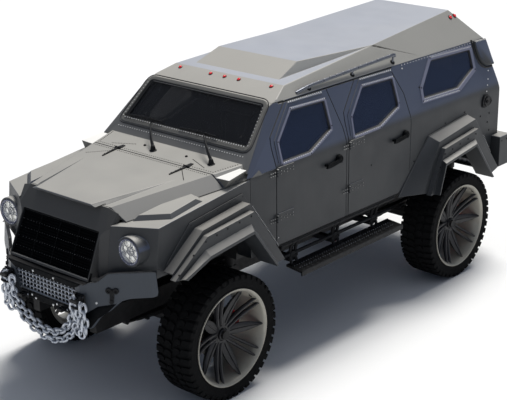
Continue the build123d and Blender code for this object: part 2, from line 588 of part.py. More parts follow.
# -------------------------------------------------------------- running gear
DIFF_X = -130.0
for end, y, tube_end in (("front", -AXLE_Y, 735.0), ("rear", AXLE_Y, 880.0)):
    with BuildPart() as axle:
        add(rod((-tube_end, y, TYRE_R), (tube_end, y, TYRE_R), 62))
        with Locations((DIFF_X if end == "front" else 0, y, TYRE_R)):
            Sphere(165)
            Cylinder(60, 420, rotation=(90, 0, 0))
        for s in (-1, 1):
            with Locations((s * 360, y, 636)):
                Box(110, 150, 30)
            if end == "front":
                with Locations((s * 725, y, TYRE_R)):
                    Box(90, 110, 150)
                with Locations((s * KING_X, y, TYRE_R)):
                    Cylinder(58, 180)
                with Locations((s * KING_X, y, TYRE_R)):
                    Cylinder(20.05, 240, mode=Mode.SUBTRACT)
            else:
                add(rod((s * 860, y, TYRE_R), (s * 905, y, TYRE_R), 110))
                add(rod((s * 900, y, TYRE_R), (s * 1042, y, TYRE_R), SPINDLE_R))
                with Locations((s * 873, y + 190, TYRE_R + 30)):
                    Box(70, 110, 190)
                with Locations((s * 873, y + 100, TYRE_R + 20)):
                    Box(30, 120, 80)
    save(axle.part, f"{end}_axle")
    print(end, "axle solids", len(axle.part.solids()))

with BuildPart() as leaf_springs:
    for s in (-1, 1):
        for y in (-AXLE_Y, AXLE_Y):
            with Locations((s * 360, y, 666)):
                Box(76, 1150, 30)
            for e in (-545, 545):
                with Locations((s * 360, y + e, 700.5)):
                    Box(76, 60, 39)
save(leaf_springs.part, "leaf_springs")

with BuildPart() as drive_shafts:
    with Locations((0, -1050, 790)):
        Box(300, 360, 240)
    add(rod((-130, -1100, 700), (-130, -1566, 577), 36))
    add(rod((0, -900, 740), (0, 1572, 575), 42))
save(drive_shafts.part, "drive_shafts")
print("shafts", len(drive_shafts.part.solids()))

with BuildPart() as fuel_tank:
    with Locations((0, 2270, 765)):
        Box(600, 460, 250)
    fillet(fuel_tank.edges().filter_by(Axis.X), 40)
save(fuel_tank.part, "fuel_tank")

with BuildPart() as exhaust:
    with Locations((-200, 350, 690)):
        Cylinder(95, 640, rotation=(90, 0, 0))
    add(rod((-200, -840, 690), (-200, 1350, 690), 32))
save(exhaust.part, "exhaust")

# --------------------------------------------------------- knuckles and wheels
y = -AXLE_Y
with BuildPart() as knuckle:
    for z in (TYRE_R + 115, TYRE_R - 115):
        with Locations((KING_X + 35, y, z)):
            Box(150, 120, 34)
    with Locations((885, y, TYRE_R)):
        Box(30, 130, 264)
    with Locations((KING_X, y, TYRE_R)):
        Cylinder(20, 264)
    add(rod((900, y, TYRE_R), (1042, y, TYRE_R), SPINDLE_R))
    with Locations((873, y + 190, TYRE_R + 30)):
        Box(70, 110, 190)
    with Locations((885, y + 100, TYRE_R + 20)):
        Box(30, 120, 80)
save(knuckle.part, "steering_knuckle_left")
save(other(knuckle.part), "steering_knuckle_right")
print("knuckle", len(knuckle.part.solids()))

# tyre section, (x, radius)
TYRE = [(768, 421), (768, 443), (757, 470), (760, 520), (785, 562), (800, TYRE_R), (1084, TYRE_R), (1099, 562), (1124, 520), (1127, 470), (1114, 443), (1114, 421)]
with BuildPart() as tyre:
    with BuildSketch(Plane.XY):
        Polygon(*[(x, r) for x, r in TYRE], align=None)
    revolve(axis=Axis.X)
# rim barrel section, (x, radius)
BARREL = [(766, 441), (766, 420), (790, 410), (830, 410), (850, 392), (1040, 392), (1085, 410), (1114, 412),
          (1116, 436), (1122, 441), (1130, 441), (1130, 430), (1122, 424), (1118, 402), (1085, 398), (1045, 380), (845, 380), (825, 398), (780, 398), (758, 430), (758, 441)]
with BuildPart() as rim:
    with BuildSketch(Plane.XY):
        Polygon(*[(x, r) for x, r in BARREL], align=None)
    revolve(axis=Axis.X)
    add(rod((955, 0, 0), (1085, 0, 0), 95))
spoke_solid = block((1050, -24, 70), (1100, 24, 402))
with BuildPart() as rim_full:
    add(rim.part)
    for k in range(10):
        add(spoke_solid.rotate(Axis.X, 36 * k))
    add(rod((900, 0, 0), (1046, 0, 0), HUB_BORE_R), mode=Mode.SUBTRACT)
rim_part = rim_full.part
print("rim", len(rim_part.solids()))
for end, yy in (("front", -AXLE_Y), ("rear", AXLE_Y)):
    for side in ("left", "right"):
        for kind, src in (("tyre", tyre.part), ("rim", rim_part)):
            placed = src.moved(Location((0, yy, TYRE_R)))
            if side == "right":
                placed = other(placed)
            save(placed, f"{kind}_{end}_{side}")

# ------------------------------------------------------------- steps and rear
STEP_X0, STEP_X1, STEP_Z = 862.0, 1086.0, 850.0
with BuildPart() as side_steps:
    # perforated plate with turned-down edges, three pairs of bowed brackets, two long rails
    add(prism_z([(STEP_X0, -760), (STEP_X1, -800), (STEP_X1, 790), (STEP_X0, 830)], STEP_Z - 10, STEP_Z + 10))
    add(block((STEP_X1 - 14, -800, STEP_Z - 34), (STEP_X1, 790, STEP_Z + 4)))
    add(rod((902, -900, 1086), (902, 860, 1086), 24))
    add(rod((884, -820, 962), (884, 840, 962), 17))
    for yb in (-690, -60, 560):
        for dy in (-38, 38):
            add(rod((902, yb + dy, 1086), (872, yb + dy, 960), 15))
            add(rod((872, yb + dy, 960), (905, yb + dy, 852), 15))
        with Locations((638, yb, 905)):
            Box(476, 60, 50)
        with Locations((875, yb, 952)):
            Box(40, 120, 60)
        with Locations((862, yb, 920)):
            Box(40, 60, 60)
print("step", len(side_steps.part.solids()))
with BuildPart() as both_steps:
    add(side_steps.part)
    add(other(side_steps.part))
save(both_steps.part, "side_steps")

with BuildPart() as rear_bumper:
    for s in (-1, 1):
        with Locations((s * 993, 2750, 1160)):
            Box(114, 200, 340)
        with Locations((s * 925, 2815, 1160)):
            Box(250, 70, 340)
    with Locations((0, 2815, 1000)):
        Box(1700, 66, 100)
save(rear_bumper.part, "rear_bumper")
with BuildPart() as rear_step:
    with Locations((0, 2880, 890)):
        Box(1700, 200, 40)
    for s in (-1, 1):
        with Locations((s * 360, 2750, 850)):
            Box(60, 100, 80)
    with Locations((0, 2805, 815)):
        Box(RECEIVER_OUT, 310, RECEIVER_OUT)
    for s in (-1, 1):
        with Locations((s * 205, 2740, 838)):
            Box(330, 60, 44)
    with Locations((0, 2860, 815)):
        Box(RECEIVER_IN, 300, RECEIVER_IN, mode=Mode.SUBTRACT)
    add(rod((-80, PIN_Y, 815), (80, PIN_Y, 815), PIN_R), mode=Mode.SUBTRACT)
save(rear_step.part, "rear_step")

with BuildPart() as tail_lamps:
    for s in (-1, 1):
        with Locations((s * 760, REAR_Y + 12, 1600)):
            Box(90, 24, 240)
save(tail_lamps.part, "tail_lamps")

with BuildPart() as roof_rails:
    for s in (-1, 1):
        add(rod((s * 752, -324, 2445), (s * 752, 1036, 2495), 18))
        add(rod((s * 752, -324, 2445), (s * 748, -480, 2418), 17))
        add(rod((s * 752, -300, 2446), (s * 735, -300, 2400), 16))
        add(rod((s * 752, 1016, 2494), (s * 735, 1016, 2400), 16))
    add(roof.part, mode=Mode.SUBTRACT)
save(roof_rails.part, "roof_rails")
print("rails", len(roof_rails.part.solids()))

# ------------------------------------------------------------------ interior
with BuildPart() as seats:
    for x in (-380, 380):
        for yc, x in ((-300, x), (620, x), (1500, x * 0.78)):
            with Locations((x, yc, 1330)):
                Box(500, 500, 180)
            with Locations((x, yc + 290, 1610)):
                Box(480, 120, 700)
            with Locations((x, yc, 1175)):
                Box(360, 360, 130)
save(seats.part, "seats")
print("seats", len(seats.part.solids()))
with BuildPart() as dashboard:
    with Locations((0, -1050, 1720)):
        Box(1300, 380, 260)
    with Locations((0, -1150, 1500)):
        Box(400, 250, 700)
save(dashboard.part, "dashboard")
with BuildPart() as steering_wheel:
    with Locations(Location((380, -720, 1700), (-65, 0, 0))):
        Torus(190, 16)
        Cylinder(50, 60)
        Box(360, 30, 20)
        with Locations((0, 0, -120)):
            Cylinder(22, 180)
    add(dashboard.part, mode=Mode.SUBTRACT)
save(steering_wheel.part, "steering_wheel")
with BuildPart() as wipers:
    for x in (-365, 365):
        add(rod((x, -1255, 2030), (x, -1110, 2175), 8))
save(wipers.part, "wipers")
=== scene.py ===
import bpy
import bmesh
import json
from math import sin, cos, tan, asin, atan, atan2, pi, radians, hypot, sqrt
from mathutils import Vector, Matrix
from mathutils.geometry import delaunay_2d_cdt
from mathutils.bvhtree import BVHTree

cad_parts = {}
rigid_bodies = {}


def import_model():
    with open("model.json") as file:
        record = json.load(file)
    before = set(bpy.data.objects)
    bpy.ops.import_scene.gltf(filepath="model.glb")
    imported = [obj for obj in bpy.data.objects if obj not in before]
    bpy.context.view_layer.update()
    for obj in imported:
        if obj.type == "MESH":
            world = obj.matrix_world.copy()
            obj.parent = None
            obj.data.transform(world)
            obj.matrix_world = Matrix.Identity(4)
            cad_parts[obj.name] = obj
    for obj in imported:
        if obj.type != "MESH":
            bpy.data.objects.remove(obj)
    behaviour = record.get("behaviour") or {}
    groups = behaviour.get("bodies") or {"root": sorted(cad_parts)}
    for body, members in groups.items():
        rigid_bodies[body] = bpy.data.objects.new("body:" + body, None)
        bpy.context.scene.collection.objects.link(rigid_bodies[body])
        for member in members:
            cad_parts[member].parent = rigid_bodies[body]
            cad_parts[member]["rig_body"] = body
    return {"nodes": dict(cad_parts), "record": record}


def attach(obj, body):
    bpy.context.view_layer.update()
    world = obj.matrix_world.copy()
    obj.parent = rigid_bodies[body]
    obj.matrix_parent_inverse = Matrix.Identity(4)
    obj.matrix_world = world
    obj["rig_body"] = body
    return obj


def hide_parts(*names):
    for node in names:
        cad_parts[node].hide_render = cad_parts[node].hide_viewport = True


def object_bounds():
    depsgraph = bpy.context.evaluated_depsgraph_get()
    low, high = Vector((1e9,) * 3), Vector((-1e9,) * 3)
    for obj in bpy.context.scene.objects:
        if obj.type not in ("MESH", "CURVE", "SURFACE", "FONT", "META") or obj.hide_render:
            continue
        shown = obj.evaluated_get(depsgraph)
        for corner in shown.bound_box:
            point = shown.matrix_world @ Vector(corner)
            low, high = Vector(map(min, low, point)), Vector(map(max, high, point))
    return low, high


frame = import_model()
cad_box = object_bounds()
NODES = frame["nodes"]
SLOTS = [m.get("slot") for m in frame["record"].get("materials", [])]

# ------------------------------------------------------------------ camera
CAM = Vector((8.1621, -9.5609, 5.553))
FWD = Vector((-0.6036, 0.7240, -0.3339)).normalized()
RIGHT = Vector((0.7682, 0.6402, 0.0)).normalized()
UP = RIGHT.cross(FWD).normalized()
FOCAL, CX, CY = 1339.8625, 283.0953, 198.8844
cam_data = bpy.data.cameras.new("camera")
cam = bpy.data.objects.new("camera", cam_data)
bpy.context.scene.collection.objects.link(cam)
bpy.context.scene.camera = cam
cam.location = CAM
cam.rotation_mode = "QUATERNION"
cam.rotation_quaternion = FWD.to_track_quat("-Z", "Y")
cam_data.sensor_width = 36.0
cam_data.lens = FOCAL * 36.0 / 507.0
cam_data.shift_x = (253.5 - CX) / 507.0
cam_data.shift_y = (CY - 200.0) / 507.0
cam_data.clip_start, cam_data.clip_end = 0.05, 300.0


def pix(px, py, point, normal):
    """Where the sight line of a place in the 507 x 400 picture meets a plane of the vehicle."""
    d = FWD + RIGHT * ((px - CX) / FOCAL) - UP * ((py - CY) / FOCAL)
    point, normal = Vector(point), Vector(normal)
    return CAM + d * ((point - CAM).dot(normal) / d.dot(normal))


# --------------------------------------------------------------- materials
def node(nt, kind, **sets):
    n = nt.nodes.new(kind)
    for k, v in sets.items():
        setattr(n, k, v)
    return n


def material(name, col, rough, metal=0.0, vary=0.12, scale=3.0, rough_vary=0.06, fine=0.0, fine_scale=400.0,
             dust_and_painted_light=(), spec=0.5, coat=0.0, coat_rough=0.1, alpha=1.0, emit=None,
             streak=0.0, kind="noise", sheen=0.0):
    """Colour and roughness that wander a little over the surface, a fine relief, and colour steps blended in by how
    much a face looks up: painted light and shade on the paint coats, a lighter upper tone on the steel.
    """
    m = bpy.data.materials.new(name)
    m.use_nodes = True
    nt = m.node_tree
    nt.nodes.clear()
    out = node(nt, "ShaderNodeOutputMaterial")
    b = node(nt, "ShaderNodeBsdfPrincipled")
    nt.links.new(b.outputs[0], out.inputs[0])
    tc = node(nt, "ShaderNodeTexCoord")
    n1 = node(nt, "ShaderNodeTexNoise")
    n1.inputs["Scale"].default_value = scale
    n1.inputs["Detail"].default_value = 5.0
    n1.inputs["Roughness"].default_value = 0.6
    nt.links.new(tc.outputs["Object"], n1.inputs["Vector"])
    r1 = node(nt, "ShaderNodeMapRange")
    r1.inputs[1].default_value, r1.inputs[2].default_value = 0.3, 0.7
    nt.links.new(n1.outputs["Fac"], r1.inputs[0])
    mix = node(nt, "ShaderNodeMix", data_type="RGBA")
    mix.inputs[6].default_value = (*[c * (1 - vary) for c in col], 1)
    mix.inputs[7].default_value = (*[min(1.0, c * (1 + vary)) for c in col], 1)
    nt.links.new(r1.outputs[0], mix.inputs[0])
    last = mix.outputs[2]
    if streak:
        mp = node(nt, "ShaderNodeMapping")
        mp.inputs["Scale"].default_value = (14.0, 14.0, 0.8)
        nt.links.new(tc.outputs["Object"], mp.inputs[0])
        ns = node(nt, "ShaderNodeTexNoise")
        ns.inputs["Scale"].default_value = 1.4
        ns.inputs["Detail"].default_value = 6.0
        nt.links.new(mp.outputs[0], ns.inputs["Vector"])
        rs = node(nt, "ShaderNodeMapRange")
        rs.inputs[1].default_value, rs.inputs[2].default_value = 0.52, 0.75
        rs.inputs[4].default_value = streak
        nt.links.new(ns.outputs["Fac"], rs.inputs[0])
        ms = node(nt, "ShaderNodeMix", data_type="RGBA")
        ms.inputs[7].default_value = (*[min(1.0, c * 1.9 + 0.02) for c in col], 1)
        nt.links.new(rs.outputs[0], ms.inputs[0])
        nt.links.new(last, ms.inputs[6])
        last = ms.outputs[2]
    # colour steps by the face's normal Z: painted light and shade (lit tops, shaded sides, painted sky reflection) on
    # the paint, a lighter upper tone on the steel
    if dust_and_painted_light:
        sep = node(nt, "ShaderNodeSeparateXYZ")
        nt.links.new(tc.outputs["Normal"], sep.inputs[0])
        n3 = node(nt, "ShaderNodeTexNoise")
        n3.inputs["Scale"].default_value = 2.2
        n3.inputs["Detail"].default_value = 8.0
        nt.links.new(tc.outputs["Object"], n3.inputs["Vector"])
        r3 = node(nt, "ShaderNodeMapRange")
        r3.inputs[1].default_value, r3.inputs[2].default_value = 0.3, 0.7
        r3.inputs[3].default_value, r3.inputs[4].default_value = 0.90, 1.0
        nt.links.new(n3.outputs["Fac"], r3.inputs[0])
        for lo_z, hi_z, colour in dust_and_painted_light:
            rd = node(nt, "ShaderNodeMapRange", interpolation_type="SMOOTHSTEP")
            rd.inputs[1].default_value, rd.inputs[2].default_value = lo_z, hi_z
            nt.links.new(sep.outputs["Z"], rd.inputs[0])
            mul = node(nt, "ShaderNodeMath", operation="MULTIPLY")
            nt.links.new(rd.outputs[0], mul.inputs[0])
            nt.links.new(r3.outputs[0], mul.inputs[1])
            md = node(nt, "ShaderNodeMix", data_type="RGBA")
            md.inputs[7].default_value = (*colour, 1)
            nt.links.new(mul.outputs[0], md.inputs[0])
            nt.links.new(last, md.inputs[6])
            last = md.outputs[2]
    nt.links.new(last, b.inputs["Base Color"])
    n2 = node(nt, "ShaderNodeTexNoise")
    n2.inputs["Scale"].default_value = scale * 3.7
    n2.inputs["Detail"].default_value = 6.0
    nt.links.new(tc.outputs["Object"], n2.inputs["Vector"])
    r2 = node(nt, "ShaderNodeMapRange")
    r2.inputs[1].default_value, r2.inputs[2].default_value = 0.3, 0.7
    r2.inputs[3].default_value, r2.inputs[4].default_value = max(0.02, rough - rough_vary), min(1.0, rough + rough_vary)
    nt.links.new(n2.outputs["Fac"], r2.inputs[0])
    nt.links.new(r2.outputs[0], b.inputs["Roughness"])
    if fine:
        if kind == "weave":
            w1 = node(nt, "ShaderNodeTexWave", wave_type="BANDS", bands_direction="X")
            w2 = node(nt, "ShaderNodeTexWave", wave_type="BANDS", bands_direction="Z")
            add = node(nt, "ShaderNodeMath", operation="MULTIPLY")
            for w, k in ((w1, 0), (w2, 1)):
                w.inputs["Scale"].default_value = fine_scale
                nt.links.new(tc.outputs["Object"], w.inputs["Vector"])
                nt.links.new(w.outputs["Fac"], add.inputs[k])
            src = add.outputs[0]
        elif kind == "brushed":
            mp = node(nt, "ShaderNodeMapping")
            mp.inputs["Scale"].default_value = (1.0, 0.06, 1.0)
            nt.links.new(tc.outputs["Object"], mp.inputs[0])
            nf = node(nt, "ShaderNodeTexNoise")
            nf.inputs["Scale"].default_value = fine_scale
            nt.links.new(mp.outputs[0], nf.inputs["Vector"])
            src = nf.outputs["Fac"]
        else:
            nf = node(nt, "ShaderNodeTexNoise")
            nf.inputs["Scale"].default_value = fine_scale
            nf.inputs["Detail"].default_value = 2.0
            nt.links.new(tc.outputs["Object"], nf.inputs["Vector"])
            src = nf.outputs["Fac"]
        bp = node(nt, "ShaderNodeBump")
        bp.inputs["Strength"].default_value = fine
        bp.inputs["Distance"].default_value = 0.0015
        nt.links.new(src, bp.inputs["Height"])
        nt.links.new(bp.outputs[0], b.inputs["Normal"])
    b.inputs["Metallic"].default_value = metal
    b.inputs["Specular IOR Level"].default_value = spec
    b.inputs["Coat Weight"].default_value = coat
    b.inputs["Coat Roughness"].default_value = coat_rough
    b.inputs["Alpha"].default_value = alpha
    if sheen:
        b.inputs["Sheen Weight"].default_value = sheen
    if emit:
        b.inputs["Emission Color"].default_value = (*emit[:3], 1)
        b.inputs["Emission Strength"].default_value = emit[3]
    return m


# A paint coat; its colour steps by how much a face looks up are painted light and shade on the one paint.
def coat_of(name, base, *steps):
    return material(name, base, 0.46, vary=0.08, scale=1.3, rough_vary=0.05, fine=0.10, fine_scale=900, dust_and_painted_light=steps, spec=0.35, streak=0.06)


# Tones of the one body paint as painted light and shade: a dark shaded grey for faces that look sideways, a bluish
# painted sky reflection on steep faces, a half-lit grey and light lit tones for faces that look up. The roof coat adds
# steps for its facets, and the nose coat's bluish base is painted sky reflection as well.
SHADE_GREY, SKY_REFLECTION_BLUE, HALF_LIT_GREY = (0.0335, 0.0365, 0.040), (0.074, 0.090, 0.138), (0.076, 0.080, 0.086)
PAINT = coat_of("paint", SHADE_GREY, (0.12, 0.30, SKY_REFLECTION_BLUE), (0.36, 0.56, HALF_LIT_GREY), (0.62, 0.95, (0.385, 0.375, 0.348)))
PAINT_ROOF = coat_of("paint_roof", SHADE_GREY, (0.12, 0.28, SKY_REFLECTION_BLUE), (0.32, 0.37, (0.44, 0.435, 0.41)), (0.55, 0.70, (0.31, 0.305, 0.285)),
                     (0.80, 0.92, (0.46, 0.445, 0.41)), (0.965, 0.99, (0.415, 0.435, 0.485)))
PAINT_FLARE = coat_of("paint_flare", SHADE_GREY, (0.30, 0.56, HALF_LIT_GREY), (0.62, 0.95, (0.27, 0.262, 0.245)))
PAINT_NOSE = coat_of("paint_nose", (0.060, 0.070, 0.084), (0.36, 0.56, HALF_LIT_GREY), (0.62, 0.95, (0.36, 0.352, 0.33)))
# Single-tone copies of the paint for chosen facets, as painted light and shade: the shaded side tone alone, and a pale
# lit tone for brightly lit tops.
PAINT_SHADED_SIDE = coat_of("paint_shaded_side", SHADE_GREY)
PAINT_LIT_PALE = coat_of("paint_lit_pale", (0.90, 0.89, 0.86))
PAINT_SHELL = coat_of("paint_shell", (0.046, 0.047, 0.048), (0.36, 0.56, (0.064, 0.064, 0.0625)), (0.62, 0.95, (0.36, 0.352, 0.33)))
# More single-tone copies, as painted light and shade: a shaded tone for the hood bulge's side facets, a half-lit tone
# for the scoop, and a lit tone for the windscreen ring at its slope.
PAINT_SHADED_FACET = coat_of("paint_shaded_facet", (0.085, 0.086, 0.084))
PAINT_SCOOP_HALF_LIT = coat_of("paint_scoop_half_lit", (0.13, 0.128, 0.118))
PAINT_RING_LIT = coat_of("paint_ring_lit", (0.165, 0.162, 0.150))
# A darker coat whose faces that look up blend to a light tone, as painted light.
PAINT_DARK = material("paint_shade", (0.050, 0.052, 0.052), 0.5, vary=0.1, scale=2.0, fine=0.1, fine_scale=900,
                      dust_and_painted_light=((0.45, 0.95, (0.34, 0.33, 0.30)),), spec=0.3)
BLACK = material("black_powder_coat", (0.0075, 0.008, 0.0095), 0.5, vary=0.2, scale=9.0, rough_vary=0.1, fine=0.22, fine_scale=700, spec=0.22)
GRILLE = material("grille_black", (0.0022, 0.0030, 0.0040), 0.6, vary=0.2, scale=9.0, rough_vary=0.1, fine=0.1, fine_scale=700, spec=0.08)
STEEL = material("dark_chassis_steel", (0.014, 0.014, 0.0145), 0.62, vary=0.35, scale=6.0, rough_vary=0.12, fine=0.3, fine_scale=300,
                 dust_and_painted_light=((0.4, 1.0, (0.045, 0.042, 0.037)),), spec=0.25)
RUBBER = material("tyre_rubber", (0.0055, 0.0056, 0.0060), 0.90, vary=0.25, scale=12.0, rough_vary=0.06, fine=0.25, fine_scale=500, spec=0.12)
SEAL = material("window_seal_rubber", (0.008, 0.008, 0.009), 0.6, vary=0.2, scale=20.0, fine=0.2, fine_scale=600)
RIM_DARK = material("rim_charcoal", (0.0095, 0.0095, 0.0120), 0.50, metal=0.0, vary=0.15, scale=10.0, rough_vary=0.06, fine=0.08, fine_scale=900)
RIM_LIGHT = material("rim_champagne", (0.36, 0.345, 0.30), 0.42, metal=0.35, vary=0.10, scale=8.0, rough_vary=0.08, fine=0.1, fine_scale=700)
DISC = material("brake_disc_iron", (0.16, 0.155, 0.15), 0.35, metal=0.9, vary=0.2, scale=14.0, rough_vary=0.1, fine=0.15, fine_scale=800)
CALIPER = material("caliper_red", (0.80, 0.018, 0.020), 0.35, vary=0.1, scale=10.0, fine=0.06, coat=0.4)
# The bezels' lavender tint is a painted reflection of the bluish sky, as on the steep body faces.
BEZEL = material("bezel_metal", (0.20, 0.21, 0.285), 0.42, metal=0.25, vary=0.08, scale=5.0, rough_vary=0.06, fine=0.12, fine_scale=900)
STUD_MID = material("grey_stud", (0.34, 0.34, 0.33), 0.45, metal=0.2, vary=0.25, scale=30.0, fine=0.05)
STUD_DIM = material("dim_stud", (0.075, 0.078, 0.082), 0.5, metal=0.2, vary=0.3, scale=30.0, fine=0.05)
RAIL = material("rail_metal", (0.115, 0.125, 0.150), 0.32, metal=0.55, vary=0.12, scale=9.0, rough_vary=0.08, fine=0.12, fine_scale=800)
BRIGHT = material("bright_stud", (0.84, 0.84, 0.82), 0.42, metal=0.1, vary=0.15, scale=30.0, fine=0.05)
ZINC = material("galvanised_steel", (0.50, 0.53, 0.58), 0.36, metal=0.7, vary=0.28, scale=28.0, rough_vary=0.12, fine=0.3, fine_scale=260)
GLASS = material("side_glass", (0.012, 0.020, 0.050), 0.05, vary=0.04, scale=1.5, rough_vary=0.01, spec=0.75, alpha=0.80, coat=0.3, coat_rough=0.03)
SCREEN_GLASS = material("windscreen_glass", (0.006, 0.007, 0.010), 0.04, vary=0.04, scale=1.5, rough_vary=0.01, spec=0.5, alpha=0.55)
LENS = material("lamp_lens", (0.75, 0.77, 0.80), 0.06, vary=0.03, scale=20.0, rough_vary=0.01, alpha=0.22, spec=0.8)
LAMP_CHROME = material("lamp_reflector", (0.72, 0.72, 0.70), 0.16, metal=0.95, vary=0.06, scale=20.0, rough_vary=0.04)
LED = material("led_white", (0.85, 0.85, 0.80), 0.3, vary=0.03, scale=20.0, emit=(1.0, 0.98, 0.9, 0.45))
RED = material("red_lens", (0.55, 0.01, 0.015), 0.25, vary=0.08, scale=20.0, coat=0.5, emit=(0.9, 0.02, 0.03, 0.35))
AMBER = material("amber_lens", (0.75, 0.22, 0.01), 0.25, vary=0.08, scale=20.0, coat=0.5)
FABRIC = material("seat_fabric", (0.030, 0.031, 0.034), 0.9, vary=0.25, scale=20.0, fine=0.5, fine_scale=900, kind="weave", sheen=0.3)
TRIM = material("trim_plastic", (0.018, 0.018, 0.019), 0.62, vary=0.2, scale=14.0, fine=0.35, fine_scale=500)
SCREEN_DIAL = material("dial_face", (0.01, 0.012, 0.014), 0.2, vary=0.1, scale=20.0, coat=0.5)


# ----------------------------------------------------------- mesh building
class Build:
    """Collects faces of many small shapes into one mesh. m is the material index of what is added next."""

    def __init__(self):
        self.v, self.f, self.mi, self.m = [], [], [], 0

    def raw(self, verts, faces):
        k = len(self.v)
        self.v += [tuple(p) for p in verts]
        self.f += [[k + i for i in f] for f in faces]
        self.mi += [self.m] * len(faces)
        return self

    def rings(self, loops, caps=True, closed=False):
        """Skins a row of point loops of the same length."""
        n = len(loops[0])
        verts = [p for loop in loops for p in loop]
        faces = []
        rows = len(loops) if closed else len(loops) - 1
        for i in range(rows):
            j = (i + 1) % len(loops)
            for k in range(n):
                l = (k + 1) % n
                faces.append([i * n + k, i * n + l, j * n + l, j * n + k])
        if caps and not closed:
            faces.append(list(range(n))[::-1])
            faces.append([(len(loops) - 1) * n + k for k in range(n)])
        return self.raw(verts, faces)

    def box(self, c, s, rot=None):
        c = Vector(c)
        pts = []
        for z in (-1, 1):
            for x, y in ((-1, -1), (1, -1), (1, 1), (-1, 1)):
                p = Vector((x * s[0] / 2, y * s[1] / 2, z * s[2] / 2))
                pts.append(c + (rot @ p if rot else p))
        return self.rings([pts[:4], pts[4:]])

    def prism(self, outline, h):
        """A flat outline carried along the vector h."""
        h = Vector(h)
        a = [Vector(p) for p in outline]
        return self.rings([a, [p + h for p in a]])

    def cyl(self, a, b, r, n=16, r2=None, start=0.0):
        a, b = Vector(a), Vector(b)
        q = (b - a).to_track_quat("Z", "Y")
        r2 = r if r2 is None else r2
        la, lb = [], []
        for k in range(n):
            t = 2 * pi * (k + start) / n
            d = q @ Vector((cos(t), sin(t), 0))
            la.append(a + d * r)
            lb.append(b + d * r2)
        return self.rings([la, lb])

    def lathe(self, o, d, prof, n=32, start=0.0, closed=False):
        """prof is (distance along d, radius); closed joins the last ring to the first."""
        o, d = Vector(o), Vector(d).normalized()
        q = d.to_track_quat("Z", "Y")
        loops = []
        for a, r in prof:
            loops.append([o + d * a + q @ Vector((cos(2 * pi * (k + start) / n) * r, sin(2 * pi * (k + start) / n) * r, 0)) for k in range(n)])
        return self.rings(loops, caps=not closed, closed=closed)

    def tube(self, pts, r, n=10, closed=False):
        pts = [Vector(p) for p in pts]
        m = len(pts)
        tang = []
        for i in range(m):
            if closed:
                t = pts[(i + 1) % m] - pts[i - 1]
            else:
                t = pts[min(i + 1, m - 1)] - pts[max(i - 1, 0)]
            tang.append(t.normalized())
        side = tang[0].orthogonal().normalized()
        loops = []
        for i in range(m):
            side = (side - tang[i] * side.dot(tang[i])).normalized()
            up = tang[i].cross(side)
            rr = r[i] if isinstance(r, (list, tuple)) else r
            loops.append([pts[i] + (side * cos(2 * pi * k / n) + up * sin(2 * pi * k / n)) * rr for k in range(n)])
        return self.rings(loops, caps=not closed, closed=closed)

    def bolt(self, p, n, r=0.006, h=0.004, sides=8):
        p, n = Vector(p), Vector(n).normalized()
        return self.lathe(p - n * 0.002, n, [(0, r), (0.002 + h * 0.6, r), (0.002 + h, r * 0.6)], n=sides)

    def row(self, a, b, n, normal, r=0.0045, h=0.003, sides=6):
        a, b = Vector(a), Vector(b)
        for i in range(n):
            self.bolt(a.lerp(b, i / max(1, n - 1)), normal, r, h, sides)
        return self

    def mirror(self):
        k = len(self.v)
        self.v += [(-x, y, z) for x, y, z in self.v]
        self.f += [[k + i for i in f][::-1] for f in self.f]
        self.mi += list(self.mi)
        return self

    def flipped(self):
        o = Build()
        o.v = [(-x, y, z) for x, y, z in self.v]
        o.f = [f[::-1] for f in self.f]
        o.mi = list(self.mi)
        return o

    def moved(self, d):
        o = Build()
        d = Vector(d)
        o.v = [tuple(Vector(p) + d) for p in self.v]
        o.f, o.mi = [list(f) for f in self.f], list(self.mi)
        return o

    def make(self, name, mats, body, slot, replaces=(), bevel=0.0, angle=35, seg=2):
        me = bpy.data.meshes.new(name)
        me.from_pydata(self.v, [], self.f)
        for i, p in enumerate(me.polygons):
            p.material_index = self.mi[i]
        bm = bmesh.new()
        bm.from_mesh(me)
        bmesh.ops.recalc_face_normals(bm, faces=bm.faces)
        for f in bm.faces:
            f.smooth = True
        for e in bm.edges:
            e.smooth = len(e.link_faces) == 2 and e.calc_face_angle(0) < radians(angle)
        bm.to_mesh(me)
        bm.free()
        for m in mats:
            me.materials.append(m)
        ob = bpy.data.objects.new(name, me)
        bpy.context.scene.collection.objects.link(ob)
        if bevel:
            add_bevel(ob, bevel, seg, 30)
        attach(ob, body)
        if replaces:
            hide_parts(*replaces)
        return ob


def add_bevel(ob, width, seg, angle):
    mod = ob.modifiers.new("edges", "BEVEL")
    mod.width = width
    mod.segments = seg
    mod.limit_method = "ANGLE"
    mod.angle_limit = radians(angle)
    mod.use_clamp_overlap = True
    mod.harden_normals = True
    for e in ob.data.edges:
        e.use_edge_sharp = False
    return mod


def both(b, name, mats, body, slot, **kw):
    """Makes the left piece and its mirror image on the right."""
    l = b.make(name + "_left", mats, body.replace("*", "left"), slot, **kw)
    r = b.flipped().make(name + "_right", mats, body.replace("*", "right"), slot, **kw)
    return l, r


